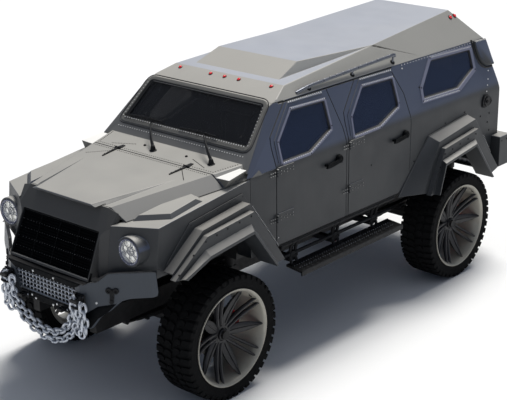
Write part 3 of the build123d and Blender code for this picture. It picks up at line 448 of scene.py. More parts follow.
def clean_faces(bm):
    """Joins coplanar triangles and fills each flat face again with well-shaped ones."""
    bm.faces.ensure_lookup_table()
    bm.verts.ensure_lookup_table()
    done, out = set(), []
    for seed in bm.faces:
        if seed.index in done or seed.calc_area() < 1e-10:
            continue
        n = seed.normal.copy()
        d0 = seed.verts[0].co.dot(n)
        group, stack = {seed.index}, [seed]
        done.add(seed.index)
        while stack:
            f = stack.pop()
            for e in f.edges:
                if len(e.link_faces) != 2:
                    continue
                g = e.link_faces[0] if e.link_faces[1] is f else e.link_faces[1]
                if g.index in done:
                    continue
                flat = all(abs(v.co.dot(n) - d0) < 6e-5 for v in g.verts)
                if flat and (g.calc_area() < 1e-9 or g.normal.dot(n) > 0.9999):
                    done.add(g.index)
                    group.add(g.index)
                    stack.append(g)
        if len(group) <= 2:
            out += [[v.index for v in bm.faces[k].verts] for k in group]
            continue
        u = n.orthogonal().normalized()
        w = n.cross(u)
        rim = []
        for k in group:
            for e in bm.faces[k].edges:
                if sum(1 for f in e.link_faces if f.index in group) == 1:
                    rim.append((e.verts[0].index, e.verts[1].index))
        ids = sorted({i for e in rim for i in e})
        pos = {v: k for k, v in enumerate(ids)}
        flat2 = [Vector((bm.verts[i].co.dot(u), bm.verts[i].co.dot(w))) for i in ids]
        vs, es, fs, ov, oe, of = delaunay_2d_cdt(flat2, [(pos[a], pos[c]) for a, c in rim], [], 0, 1e-7)
        if len(vs) != len(flat2) or any(len(o) != 1 for o in ov):
            out += [[v.index for v in bm.faces[k].verts] for k in group]
            continue
        segs = [(flat2[pos[a]], flat2[pos[c]]) for a, c in rim]
        for f in fs:
            c = (vs[f[0]] + vs[f[1]] + vs[f[2]]) / 3
            inside = False
            for a, e in segs:
                if (a.y > c.y) != (e.y > c.y) and c.x < a.x + (e.x - a.x) * (c.y - a.y) / (e.y - a.y):
                    inside = not inside
            if inside:
                tri = [ids[ov[k][0]] for k in f]
                p, q, r = (bm.verts[k].co for k in tri)
                out.append(tri if (q - p).cross(r - p).dot(n) > 0 else tri[::-1])
    return out


def panel(name, mat, width=0.004, seg=2, angle=18, piece=None, smooth=7, areas=()):
    """A CAD panel carried over with its edges slightly rounded. areas are (test of centre and normal, material) for
    faces that take another material, here lit or shaded copies of the paint as painted light and shade.
    """
    src = NODES[name]
    bm = bmesh.new()
    bm.from_mesh(src.data)
    bmesh.ops.remove_doubles(bm, verts=bm.verts, dist=4e-5)
    faces = clean_faces(bm)
    me = bpy.data.meshes.new(name + "_shell")
    me.from_pydata([tuple(v.co) for v in bm.verts], [], faces)
    bm.free()
    me.validate()
    ob = bpy.data.objects.new(piece or name + "_shell", me)
    bpy.context.scene.collection.objects.link(ob)
    mod = ob.modifiers.new("edges", "BEVEL")
    mod.width, mod.segments = width, seg
    mod.limit_method, mod.angle_limit = "ANGLE", radians(angle)
    mod.use_clamp_overlap = False
    done = bpy.data.meshes.new_from_object(ob.evaluated_get(bpy.context.evaluated_depsgraph_get()))
    ob.modifiers.clear()
    bm = bmesh.new()
    bm.from_mesh(done)
    bmesh.ops.delete(bm, geom=[v for v in bm.verts if not v.link_faces], context="VERTS")
    for f in bm.faces:
        f.smooth = True
    for e in bm.edges:
        e.smooth = len(e.link_faces) == 2 and e.calc_face_angle(0) < radians(smooth)
    bm.to_mesh(done)
    bm.free()
    done.materials.clear()
    done.materials.append(mat)
    for test, other_mat in areas:
        done.materials.append(other_mat)
    for p in done.polygons:
        p.material_index = next((k + 1 for k, (test, m2) in enumerate(areas) if test(p.center, p.normal)), 0)
    ob.data = done
    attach(ob, src["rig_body"])
    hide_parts(name)
    return ob


def paint_node(name, mat):
    me = NODES[name].data
    me.materials.clear()
    me.materials.append(mat)


# ----------------------------------------------------- the body's surfaces
LEAN = 162.0 / 530.0
LEAN_A = atan(LEAN)
BELT_R = 0.42
Z1 = 1.86 - BELT_R * tan(LEAN_A / 2)
Z2 = Z1 + BELT_R * sin(LEAN_A)


def lean_at(z):
    if z <= Z1:
        return 0.0
    if z >= Z2:
        return LEAN_A
    return asin((z - Z1) / BELT_R)


def S(y, z, h=0.0):
    """A point on the left side skin, h proud of it."""
    a = lean_at(z)
    if z <= Z1:
        x = 0.934
    elif z >= Z2:
        x = 0.934 - (z - 1.86) * LEAN
    else:
        x = 0.934 - BELT_R * (1 - cos(a))
    return Vector((x + cos(a) * h, y, z + sin(a) * h))


def SN(z):
    a = lean_at(z)
    return Vector((cos(a), 0, sin(a)))


def plane3(a, b, c, out):
    a, b, c = Vector(a), Vector(b), Vector(c)
    n = (b - a).cross(c - a).normalized()
    return (a, n if n.dot(Vector(out)) > 0 else -n)


HOOD = plane3((0.83, -1.239, 1.96), (0.484, -2.571, 1.832), (-0.83, -1.239, 1.96), (0, 0, 1))
SCREEN = (Vector((0, -1.189, 2.066)), Vector((0, -1, 1)).normalized())
FENDER = plane3((0.934, -1.327, 1.849), (0.935, -2.454, 1.725), (0.622, -2.615, 1.716), (0, 0, 1))
LAMP = plane3((0.622, -2.615, 1.716), (0.935, -2.454, 1.725), (0.934, -2.49, 1.354), (0, -1, 0))
SHELL_UP = plane3((0.484, -2.571, 1.832), (-0.484, -2.571, 1.832), (0.471, -2.679, 1.651), (0, -1, 0))
SHELL_FACE = plane3((0.471, -2.679, 1.651), (-0.471, -2.679, 1.651), (0.487, -2.849, 1.263), (0, -1, 0))
WING = plane3((0.487, -2.849, 1.263), (0.946, -2.531, 1.311), (0.554, -2.819, 1.089), (0, -1, 0))
ROOF = plane3((0, -0.568, 2.49), (0.1, -0.568, 2.49), (0, 2.417, 2.685), (0, 0, 1))
HEADER = plane3((0, -0.8, 2.402), (0.1, -0.8, 2.402), (0, -0.568, 2.49), (0, -1, 1))
ROOF_SIDE = plane3((0.771, -0.768, 2.395), (0.773, 2.646, 2.387), (0.467, 2.417, 2.685), (1, 0, 1))
REAR_UP = plane3((0, 2.646, 2.387), (0.1, 2.646, 2.387), (0, 2.78, 1.84), (0, 1, 0))
SIDE_UP = (Vector((0.934, 0, 1.86)), Vector((1, 0, LEAN)).normalized())
SIDE_LOW = (Vector((0.934, 0, 1.5)), Vector((1, 0, 0)))


def on(plane, px, py, h=0.0):
    return pix(px, py, plane[0], plane[1]) + plane[1] * h


def lift(plane, x, y, h=0.0):
    """Point over (x, y) on a plane that faces up."""
    p0, n = plane
    z = p0.z - (n.x * (x - p0.x) + n.y * (y - p0.y)) / n.z
    return Vector((x, y, z)) + n * h


def grow(poly, d):
    """A closed (u, v) outline moved outwards by d."""
    area = sum(a[0] * b[1] - b[0] * a[1] for a, b in zip(poly, poly[1:] + poly[:1]))
    s = 1 if area > 0 else -1
    out = []
    n = len(poly)
    for i in range(n):
        p0, p1, p2 = Vector(poly[i - 1]), Vector(poly[i]), Vector(poly[(i + 1) % n])
        d1, d2 = (p1 - p0).normalized(), (p2 - p1).normalized()
        n1, n2 = Vector((d1.y, -d1.x)) * s, Vector((d2.y, -d2.x)) * s
        b = (n1 + n2).normalized()
        k = d / max(0.3, b.dot(n1))
        out.append((p1.x + b.x * k, p1.y + b.y * k))
    return out


def rounded(poly, r, k=5):
    """Rounds the corners of a closed (u, v) outline."""
    out = []
    n = len(poly)
    for i in range(n):
        p0, p1, p2 = Vector(poly[i - 1]), Vector(poly[i]), Vector(poly[(i + 1) % n])
        a, b = (p0 - p1), (p2 - p1)
        rr = min(r, a.length * 0.45, b.length * 0.45)
        a, b = p1 + a.normalized() * rr, p1 + b.normalized() * rr
        for j in range(k + 1):
            t = j / k
            q = a * (1 - t) ** 2 + p1 * 2 * t * (1 - t) + b * t ** 2
            out.append((q.x, q.y))
    return out

# ------------------------------------------------------------- body panels
PANELS = {"hood": 0.005, "grille_shell": 0.005, "front_bumper": 0.005, "front_fenders": 0.004, "windshield_frame": 0.005,
          "roof": 0.006, "body_side_left": 0.004, "body_side_right": 0.004, "rear_wall": 0.005, "tail_door": 0.004,
          "front_door_left": 0.003, "front_door_right": 0.003, "rear_door_left": 0.003, "rear_door_right": 0.003,
          "fender_flares": 0.004, "rear_bumper": 0.006}
# Coats per panel carry painted light and shade steps; the facets picked below take lit or shaded single-tone copies of
# the paint, as painted light and shade.
COATS = {"roof": PAINT_ROOF, "fender_flares": PAINT_FLARE, "front_bumper": PAINT_NOSE, "grille_shell": PAINT_SHELL}
AREAS = {"windshield_frame": ((lambda c, n: n.z > 0.9 and abs(c.x) > 0.80 and -1.592 < c.y < -1.32 and c.z > 1.88, PAINT_LIT_PALE),
                              (lambda c, n: abs(c.x) > 0.925 and c.y > -1.36, PAINT_SHADED_SIDE),
                              (lambda c, n: n.z < 0.9 and abs(c.x) > 0.84 and -1.60 < c.y < -1.32 and c.z > 1.80, PAINT_SCOOP_HALF_LIT)),
         "hood": ((lambda c, n: 0.25 < abs(n.x) < 0.42 and n.z > 0.88, PAINT_SHADED_FACET),)}


for n, w in PANELS.items():
    panel(n, COATS.get(n, PAINT), width=w, areas=AREAS.get(n, ()))
panel("rear_step", BLACK, width=0.004)
for n in ("chassis_frame", "body_mounts", "front_axle", "rear_axle", "drive_shafts", "engine_block", "exhaust",
          "steering_knuckle_left", "steering_knuckle_right", "fuel_tank"):
    paint_node(n, STEEL)
paint_node("cab_floor", TRIM)
for n in ("front_door_glass_left", "front_door_glass_right", "rear_door_glass_left", "rear_door_glass_right",
          "quarter_glass", "tail_door_glass"):
    paint_node(n, GLASS)
paint_node("windshield", SCREEN_GLASS)

# ------------------------------------------------------------------ wheels
PITCHES = 44
HALF = 0.185
CROWN = [(-1.0, 0.5645), (-0.8, 0.5685), (-0.4, 0.570), (0.0, 0.570), (0.4, 0.570), (0.8, 0.5685), (1.0, 0.5645)]


def crown(u):
    for (u0, r0), (u1, r1) in zip(CROWN, CROWN[1:]):
        if u <= u1:
            return r0 + (r1 - r0) * (u - u0) / (u1 - u0)
    return CROWN[-1][1]


def lug(b, poly, turn, mirror, depth=0.017, draft=0.05):
    """One tread block: (across, along) corners, across in half widths, along in pitches."""
    cx = sum(p[0] for p in poly) / len(poly)
    cy = sum(p[1] for p in poly) / len(poly)
    top, low = [], []
    for u, v in poly:
        for loop, k, dr in ((top, 1.0, 0.0), (low, 1.0 + draft, depth)):
            uu, vv = cx + (u - cx) * k, cy + (v - cy) * k
            a = 2 * pi * (vv + turn) / PITCHES
            uu = -uu if mirror else uu
            r = crown(max(-1.0, min(1.0, uu))) - dr
            loop.append((uu * HALF, r * cos(a), r * sin(a)))
    if mirror:
        top, low = top[::-1], low[::-1]
    b.rings([low, top])


def make_tyre():
    b = Build()
    # carcass: bead, side walls with their rings, tread base
    half = [(0.150, 0.425), (0.168, 0.428), (0.176, 0.440), (0.181, 0.452), (0.1815, 0.458), (0.180, 0.461), (0.1835, 0.474),
            (0.1855, 0.495), (0.1850, 0.512), (0.1865, 0.515), (0.1862, 0.523), (0.1835, 0.527), (0.179, 0.541), (0.171, 0.549), (0.12, 0.5535), (0.0, 0.5545)]
    prof = half + [(-x, r) for x, r in half[::-1][1:]]
    b.lathe((0, 0, 0), (1, 0, 0), prof[::-1], n=132, closed=True)
    shoulder = [(0.60, 0.10), (0.70, 0.05), (1.0, 0.00), (1.0, 0.66), (0.72, 0.76), (0.60, 0.70), (0.53, 0.52), (0.53, 0.22)]
    inner = [(0.07, 0.36), (0.24, 0.12), (0.40, 0.16), (0.47, 0.34), (0.47, 0.62), (0.33, 0.70), (0.25, 0.92), (0.07, 0.98)]
    for k in range(PITCHES):
        for mirror, shift in ((False, 0.0), (True, 0.5)):
            lug(b, shoulder, k + shift, mirror)
            lug(b, inner, k + shift, mirror)
            # shoulder lug running down the side wall, long and short in turn
            s = -1 if mirror else 1
            depth = 0.507 if k % 2 else 0.527
            loops = []
            for r, x0, x1, vv in ((0.5625, 0.170, 0.1855, 0.0), (0.549, 0.170, 0.1868, 0.01), (depth + 0.006, 0.178, 0.1868, 0.05), (depth, 0.180, 0.1845, 0.08)):
                loop = []
                for x, v in ((x0, 0.02 + vv), (x1, 0.02 + vv), (x1, 0.64 - vv), (x0, 0.64 - vv)):
                    a = 2 * pi * (v + k + shift) / PITCHES
                    loop.append((s * x, r * cos(a), r * sin(a)))
                loops.append(loop)
            b.rings(loops)
    return b


def spoke(b, ang, stations):
    """A spoke through (radius, centre offset, half width, front x, depth) stations at an angle about X."""
    er = Vector((0, cos(ang), sin(ang)))
    et = Vector((0, -sin(ang), cos(ang)))
    ex = Vector((1, 0, 0))
    loops = []
    for r, off, w, xf, dep in stations:
        o = er * r + et * off
        loops.append([o + et * a * w + ex * (xf - d) for a, d in
                      ((-1.0, 0.012), (-0.45, 0.0), (0.45, 0.0), (1.0, 0.012), (0.85, dep), (-0.85, dep))])
    b.rings(loops)


def front_x(r):
    return 0.058 + 0.112 * max(0.0, (r - 0.06) / 0.36) ** 1.5


def make_rim():
    b = Build()
    b.m = 1
    b.lathe((0, 0, 0), (1, 0, 0),
            [(0.188, 0.441), (0.188, 0.434), (0.184, 0.430), (0.180, 0.424), (0.172, 0.417), (0.160, 0.412), (0.140, 0.405), (0.10, 0.392), (0.0, 0.384),
             (-0.11, 0.380), (-0.135, 0.392), (-0.165, 0.400), (-0.180, 0.412), (-0.184, 0.432), (-0.184, 0.441), (-0.176, 0.441), (-0.17, 0.424),
             (-0.1, 0.41), (0.09, 0.41), (0.165, 0.424), (0.178, 0.441)], n=96, closed=True)
    b.m = 0
    rs = [0.062, 0.12, 0.19, 0.26, 0.33, 0.385, 0.421]
    for k in range(5):
        a = radians(250 + 72 * k)
        for s in (-1, 1):
            spoke(b, a, [(r, s * (0.020 + 0.016 * i / 6), [0.016, 0.0145, 0.0145, 0.0155, 0.015, 0.013, 0.011][i], front_x(r), [0.05, 0.048, 0.044, 0.04, 0.034, 0.03, 0.022][i]) for i, r in enumerate(rs)])
        # web that joins the two bars near the hub
        spoke(b, a, [(r, 0, w, front_x(r) - 0.016, 0.03) for r, w in ((0.07, 0.03), (0.13, 0.03), (0.165, 0.012))])
        a += radians(36)
        spoke(b, a, [(r, 0, w, front_x(r) - 0.004, d) for r, w, d in ((0.062, 0.034, 0.05), (0.12, 0.042, 0.05), (0.175, 0.050, 0.048), (0.24, 0.048, 0.044),
                                                              (0.31, 0.039, 0.038), (0.37, 0.023, 0.032), (0.421, 0.009, 0.022))])
        # raised rib along the blade
        spoke(b, a, [(r, 0, w, front_x(r) + 0.004, 0.02) for r, w in ((0.10, 0.008), (0.20, 0.008), (0.30, 0.006), (0.40, 0.003))])
    b.lathe((0, 0, 0), (1, 0, 0), [(-0.01, 0.098), (0.034, 0.100), (0.046, 0.094), (0.052, 0.080), (0.058, 0.078), (0.058, 0.062), (0.050, 0.058),
                                  (0.050, 0.052), (0.070, 0.050), (0.074, 0.044), (0.074, 0.0005)], n=40)
    for k in range(10):
        a = 2 * pi * (k + 0.5) / 10
        b.cyl((0.040, 0.086 * cos(a), 0.086 * sin(a)), (0.062, 0.086 * cos(a), 0.086 * sin(a)), 0.0075, n=6)
    # small bolts round the lip
    b.m = 1
    for k in range(30):
        a = 2 * pi * k / 30
        b.bolt((0.170, 0.4165 * cos(a), 0.4165 * sin(a)), (0.8, -0.5 * cos(a), -0.5 * sin(a)), 0.0035, 0.003, 6)
    # valve
    b.m = 2
    b.cyl((0.150, 0.40 * cos(0.9), 0.40 * sin(0.9)), (0.186, 0.392 * cos(0.9), 0.392 * sin(0.9)), 0.0045, n=8)
    b.m = 3
    # brake disc with its bell
    b.lathe((0, 0, 0), (1, 0, 0), [(-0.020, 0.105), (-0.006, 0.110), (-0.006, 0.138), (-0.008, 0.225), (-0.014, 0.227), (-0.020, 0.225), (-0.022, 0.138), (-0.030, 0.128)], n=64, closed=True)
    return b


tyre_mesh, rim_mesh = make_tyre(), make_rim()
for end, wy in (("front", -1.79), ("rear", 1.79)):
    for side, sx in (("left", 1), ("right", -1)):
        body = f"wheel_{end}_{side}"
        place = (sx * 0.942, wy, 0.57)
        t = tyre_mesh if sx > 0 else tyre_mesh.flipped()
        r = rim_mesh if sx > 0 else rim_mesh.flipped()
        t.moved(place).make(f"tread_{end}_{side}", [RUBBER], body, "tyre", replaces=(f"tyre_{end}_{side}",), angle=32)
        r.moved(place).make(f"wheel_{end}_{side}", [RIM_DARK, RIM_LIGHT, BLACK, DISC], body, "rim", replaces=(f"rim_{end}_{side}",), angle=28)
        # caliper: inner half, outer half and the bridge past the disc
        c = Build()
        for x0, x1, y0, y1, z0, z1 in ((0.836, 0.914, 0.132, 0.250, -0.068, 0.128), (0.941, 0.960, 0.128, 0.250, -0.060, 0.120), (0.836, 0.960, 0.236, 0.264, -0.050, 0.110)):
            c.box(((x0 + x1) / 2, wy + (y0 + y1) / 2, 0.57 + (z0 + z1) / 2), (x1 - x0, y1 - y0, z1 - z0))
        for z in (-0.03, 0.09):
            c.cyl((0.958, wy + 0.19, 0.57 + z), (0.966, wy + 0.19, 0.57 + z), 0.021, n=20)
        c = c if sx > 0 else c.flipped()
        c.make(f"caliper_{end}_{side}", [CALIPER], f"steering_knuckle_{side}" if end == "front" else "root", "caliper", bevel=0.006)

# -------------------------------------------------- small building helpers
def strap(b, pts, normals, w, t, base=0.0, cut=0.25):
    """A bar of w x t section with broken edges along pts, standing up from them along the normals."""
    pts = [Vector(p) for p in pts]
    if not isinstance(normals, list):
        normals = [normals] * len(pts)
    loops = []
    for i, p in enumerate(pts):
        t0 = (pts[min(i + 1, len(pts) - 1)] - pts[max(i - 1, 0)]).normalized()
        n = Vector(normals[i]).normalized()
        n = (n - t0 * n.dot(t0)).normalized()
        s = t0.cross(n)
        ww = w[i] if isinstance(w, (list, tuple)) else w
        tt = t[i] if isinstance(t, (list, tuple)) else t
        c = min(ww, tt) * cut
        loops.append([p + s * a + n * (base + d) for a, d in
                      ((-ww / 2, 0), (-ww / 2, tt - c), (-ww / 2 + c, tt), (ww / 2 - c, tt), (ww / 2, tt - c), (ww / 2, 0))])
    b.rings(loops)


def along(poly, gap, closed=True):
    """Points about gap apart along a (u, v) outline."""
    out = []
    n = len(poly)
    for i in range(n if closed else n - 1):
        a, c = Vector(poly[i]), Vector(poly[(i + 1) % n])
        k = max(1, round((c - a).length / gap))
        out += [tuple(a.lerp(c, j / k)) for j in range(k)]
    if not closed:
        out.append(tuple(poly[-1]))
    return out


def side_at(px, py):
    """(y, z) on the left side skin that shows at a place in the picture."""
    p = pix(px, py, *SIDE_LOW)
    if p.z > 1.86:
        p = pix(px, py, *SIDE_UP)
    return p.y, p.z


def side_bolt(b, px, py, r=0.009, h=0.004, sides=10):
    y, z = side_at(px, py)
    b.bolt(S(y, z), SN(z), r, h, sides)


# ------------------------------------------------------- windows and doors
FRONT_WIN = [(-.626, 2.298), (-.145, 2.286), (-.138, 2.053), (-.142, 2.025), (-.491, 1.893), (-.881, 1.892), (-.878, 2.065)]
REAR_WIN = [(.444, 2.295), (.933, 2.284), (.94, 2.044), (.926, 2.009), (.588, 1.897), (.178, 1.891), (.197, 2.06)]
QUARTER = [(1.624, 2.334), (2.35, 2.315), (2.346, 2.123), (2.006, 1.985), (1.377, 2.0), (1.385, 2.097)]


def bezel(poly, width, studs, corner=0.014, inner_studs=()):
    """Clamping frame round a side window with its studs (material 1) and rubber seal (material 2)."""
    b = Build()

    def loop(d, h):
        return [S(y, z, h) for y, z in rounded(grow(poly, d), corner)]
    b.rings([loop(width, -0.003), loop(width, 0.004), loop(width - 0.003, 0.007), loop(0.003, 0.007), loop(0.0, 0.004), loop(0.0, -0.010)], caps=False)
    b.m = 2
    b.rings([loop(0.0005, -0.004), loop(-0.004, -0.004), loop(-0.011, -0.0135), loop(-0.012, -0.0165)], caps=False)
    b.m = 1
    n = len(poly)
    for i in studs:
        ring = grow(poly, width * 0.62)
        a, c = Vector(ring[i]), Vector(ring[(i + 1) % n])
        k = max(2, round((c - a).length / 0.027))
        for j in range(k):
            y, z = a.lerp(c, (j + 0.5) / k)
            b.bolt(S(y, z, 0.006), SN(z), 0.0062, 0.005, 6)
    for i in inner_studs:
        ring = grow(poly, 0.004)
        a, c = Vector(ring[i]), Vector(ring[(i + 1) % n])
        k = max(2, round((c - a).length / 0.030))
        for j in range(k):
            y, z = a.lerp(c, (j + 0.5) / k)
            b.bolt(S(y, z, 0.005), SN(z), 0.0055, 0.004, 6)
    return b


WIN_MATS = [BEZEL, BRIGHT, SEAL, BLACK]
for name, poly, width, studs, inner, body in (
        ("front_window_frame", FRONT_WIN, 0.024, (0,), (4, 3), "front_door_*"),
        ("rear_window_frame", REAR_WIN, 0.024, (0,), (4, 3), "rear_door_*"),
        ("quarter_window_frame", QUARTER, 0.042, (0, 3), (3,), "root")):
    b = bezel(poly, width, studs, inner_studs=inner)
    b.m = 3
    ring = grow(poly, width * 0.55)
    for i, (y, z) in enumerate(ring):
        if name.startswith("quarter") or i in (0, 1, 2, 4, 5, 6):
            b.bolt(S(y, z, 0.006), SN(z), 0.0085 if name.startswith("quarter") else 0.0065, 0.006, 8)
    both(b, name, WIN_MATS, body, "rim")

# raised press line round each door's upper frame, and the toothed strip along the gutter above it, made near-white as a
# painted highlight
for name, pts, body in (
        ("front_door_edge", [(-.155, 2.352), (-.650, 2.358), (-.925, 2.085), (-.930, 1.90)], "front_door_*"),
        ("rear_door_edge", [(.940, 2.350), (.420, 2.357), (.145, 2.085), (.128, 1.90)], "rear_door_*")):
    b = Build()
    line = along(pts, 0.08, closed=False)
    loops = []
    for i, (y, z) in enumerate(line):
        a, c = Vector(line[max(i - 1, 0)]), Vector(line[min(i + 1, len(line) - 1)])
        t = (c - a).normalized()
        s = Vector((-t.y, t.x))
        loops.append([S(y + s.x * w, z + s.y * w, h) for w, h in ((-0.013, -0.002), (-0.009, 0.006), (0.004, 0.007), (0.011, -0.002))])
    b.rings(loops)
    b.m = 1
    a, c = Vector(pts[0]), Vector(pts[1])
    k = round((c - a).length / 0.03)
    for j in range(k):
        y, z = a.lerp(c, (j + 0.5) / k)
        b.box(S(y, z + 0.012, 0.003), (0.007, 0.012, 0.016), Matrix.Rotation(-LEAN_A, 3, "Y"))
    both(b, name, [PAINT, BRIGHT], body, "paint")

# handles: a boss at the rear and a lever that runs forward
for name, y0, y1, z, body in (("front_handle", -0.296, -0.085, 1.722, "front_door_*"), ("rear_handle", 0.778, 0.995, 1.711, "rear_door_*")):
    b = Build()
    x = 0.934
    b.lathe((x - 0.004, y1, z + 0.012), (1, 0, 0), [(0, 0.043), (0.010, 0.043), (0.014, 0.040), (0.032, 0.038), (0.040, 0.032), (0.042, 0.020), (0.038, 0.018), (0.038, 0.001)], n=28)
    pts, wid, thk = [], [], []
    for k in range(9):
        t = k / 8
        pts.append((x + 0.024 - 0.006 * sin(pi * t), y1 + (y0 - y1) * t, z + 0.008 - 0.030 * sin(pi * t * 0.62) + 0.012 * t ** 4))
        wid.append(0.042 - 0.010 * sin(pi * min(1, t * 1.05)) + 0.002)
        thk.append(0.020)
    strap(b, pts, Vector((1, 0, 0)), wid, thk)
    b.cyl((x - 0.002, y0 + 0.014, z - 0.006), (x + 0.026, y0 + 0.014, z - 0.006), 0.010, n=12)
    b.bolt((x, y1 + 0.058, z - 0.035), (1, 0, 0), 0.007, 0.004)
    b.m = 1
    b.lathe((x + 0.030, y1, z + 0.012), (1, 0, 0), [(0, 0.0125), (0.007, 0.0125), (0.0075, 0.011), (0.0075, 0.0005)], n=16)
    both(b, name, [GRILLE, STEEL], body, "black_metal", bevel=0.0015)

# hinges: knuckles on each axis, bolts through the straps
for name, ya, body in (("front_door_hinge", -0.985, "front_door_*"), ("rear_door_hinge", 0.075, "rear_door_*")):
    b = Build()
    for z in (1.82, 1.385):
        for k, dz in enumerate((-0.030, -0.006, 0.018)):
            b.lathe((0.952, ya, z + dz), (0, 0, 1), [(0, 0.010), (0.001, 0.0115), (0.019, 0.0115), (0.020, 0.010)], n=14)
        b.m = 1
        b.lathe((0.952, ya, z + 0.037), (0, 0, 1), [(0, 0.009), (0.004, 0.009), (0.007, 0.005)], n=10)
        for k in range(5):
            y = ya + 0.052 + 0.042 * k
            for dz in ((0.014, -0.014) if k % 2 == 0 else (0.0,)):
                b.bolt((0.949, y, z + dz), (1, 0, 0), 0.0044, 0.005, 6)
        b.m = 0
    both(b, name, [PAINT, STUD_MID], body, "paint")
    b = Build()
    for z in (1.82, 1.385):
        for k in range(3):
            for dz in (0.014, -0.014):
                b.bolt((0.944 if z < 1.8 else 0.944, ya - 0.030 - 0.028 * k, z + dz), (1, 0, 0), 0.0052, 0.009, 6)
    both(b, name + "_leaf_bolts", [STUD_MID], "root", "galvanised")

# loose bolts seen on the doors and sides
FRONT_DARK = [(341.3, 197.9), (350.2, 205.7), (341.8, 156.3)]
b = Build()
for p in ((350.2, 205.7), (331.5, 124.9), (309.5, 154.4), (277.6, 143.1), (326.0, 165.0), (283.0, 214.0)):
    y, z = side_at(*p)
    if -0.93 < y < -0.04:
        b.bolt(S(y, z), SN(z), 0.0085, 0.005, 8)
both(b, "front_door_bolts", [BLACK], "front_door_*", "black_metal")
b = Build()
for p in ((414.1, 161.3), (401.6, 189.2), (403.4, 92.6), (371.3, 165.2)):
    y, z = side_at(*p)
    if 0.13 < y < 1.02:
        b.bolt(S(y, z), SN(z), 0.0085, 0.005, 8)
both(b, "rear_door_bolts", [BLACK], "rear_door_*", "black_metal")
b = Build()
for p in ((464.7, 112.3), (489.2, 113.0), (480.5, 116.4), (487.3, 122.0), (488.6, 129.9), (445.3, 123.3), (413.9, 161.3), (419.2, 87.4)):
    y, z = side_at(*p)
    if 1.10 < y < 2.74:
        b.bolt(S(y, z), SN(z), 0.010, 0.005, 10)
# near-white dots, most of them down the rear corner seam, stand for its painted highlights
b.m = 1
for p in ((401.9, 68.5), (488.1, 70.5), (487.9, 79.0), (487.4, 85.0), (486.8, 91.4)):
    y, z = side_at(*p)
    if 1.10 < y < 2.74:
        b.bolt(S(y, z), SN(z), 0.0075, 0.005, 8)
b.m = 0
for p in ((275.0, 163.1), (275.2, 166.8), (270.8, 137.3), (270.8, 142.6)):
    y, z = side_at(*p)
    if -1.2 < y < -1.0:
        b.bolt(S(y, z), SN(z), 0.006, 0.005, 8)
both(b, "side_bolts", [BLACK, BRIGHT], "root", "black_metal")

# fuel filler with its pocket and cap
fill = [side_at(481.5 + (x - 848) / 9.8, 94.0 + (y - 722) / 9.8) for x, y in
        ((870, 730), (900, 722), (940, 760), (938, 800), (915, 830), (870, 858), (848, 850), (852, 780))]
b = Build()
fy, fz = sum(p[0] for p in fill) / 8, sum(p[1] for p in fill) / 8


def filler(d, h):
    return [S(y, z, h) for y, z in rounded(grow(fill, d), 0.02, 4)]


b.rings([filler(0.0, -0.004), filler(0.0, 0.012), filler(-0.006, 0.018), filler(-0.020, 0.018), filler(-0.026, 0.010)], caps=False)
b.rings([filler(-0.024, 0.004), filler(-0.0245, 0.012), filler(-0.030, 0.013)])
b.lathe(S(fy, fz, 0.008), SN(fz), [(0, 0.052), (0.010, 0.052), (0.014, 0.046), (0.014, 0.020), (0.022, 0.018), (0.022, 0.001)], n=28)
b.box(S(fy, fz, 0.034), (0.012, 0.062, 0.014), Matrix.Rotation(-lean_at(fz), 3, "Y"))
for y, z in rounded(grow(fill, -0.013), 0.02, 1):
    b.bolt(S(y, z, 0.017), SN(z), 0.004, 0.003, 6)
b.make("fuel_filler", [BLACK], "root", "black_metal", bevel=0.0015)

# corner pods: curved outlets on the upper rear corners
b = Build()
CURVE = [(2.430, 2.385), (2.432, 2.330), (2.440, 2.275), (2.456, 2.220), (2.482, 2.170), (2.520, 2.132), (2.570, 2.108), (2.630, 2.100), (2.700, 2.100)]
loops = []
for (y, z) in CURVE:
    top = 2.386
    loops.append((y, z, top))
front, back = [], []
edge = []
for i, (y, z, top) in enumerate(loops):
    yr = min(2.70, 2.66 + 0.02)
    edge.append((y, z))
outer = edge + [(2.715, 2.100), (2.690, 2.20), (2.668, 2.30), (2.648, 2.380)]


def pod(d, h):
    return [S(y, z, h) for y, z in grow(outer, d)]


b.rings([pod(0.0, -0.004), pod(0.0, 0.022), pod(-0.006, 0.034), pod(-0.016, 0.038)], caps=True)
b.m = 1
b.tube([S(y, z, 0.002) for y, z in grow(outer, 0.016)[:9]], 0.011, 8)
b.m = 2
for y, z in along([(2.45, 2.372), (2.635, 2.368)], 0.028, closed=False):
    b.bolt(S(y, z, 0.036), SN(z), 0.0055, 0.004, 6)
both(b, "corner_pod", [PAINT, SEAL, BRIGHT], "root", "paint", bevel=0.003)

# ------------------------------------------------------------ hood and cowl
def flat_row(b, plane, a, c, gap, r=0.005, h=0.004, sides=6):
    """Studs along a line between two places of the picture on a plane."""
    p, q = on(plane, *a), on(plane, *c)
    k = max(2, round((q - p).length / gap))
    for j in range(k):
        b.bolt(p.lerp(q, j / (k - 1)), plane[1], r, h, sides)


b = Build()
lip = []
for k in range(25):
    t = -1 + k / 12
    lip.append(lift(HOOD, 0.335 * t, -2.560 - 0.030 * (1 - t * t), 0.0))
loops = []
for i, p in enumerate(lip):
    y_dir = Vector((0, 1, 0))
    loops.append([p + Vector((0, 0.075, 0.012)), p + Vector((0, 0.030, 0.016)), p + Vector((0, -0.012, 0.010)), p + Vector((0, -0.030, -0.012)), p + Vector((0, -0.016, -0.020)), p + Vector((0, 0.06, -0.004))])
b.rings(loops)
b.make("hood_lip", [PAINT], "hood", "paint", bevel=0.002)

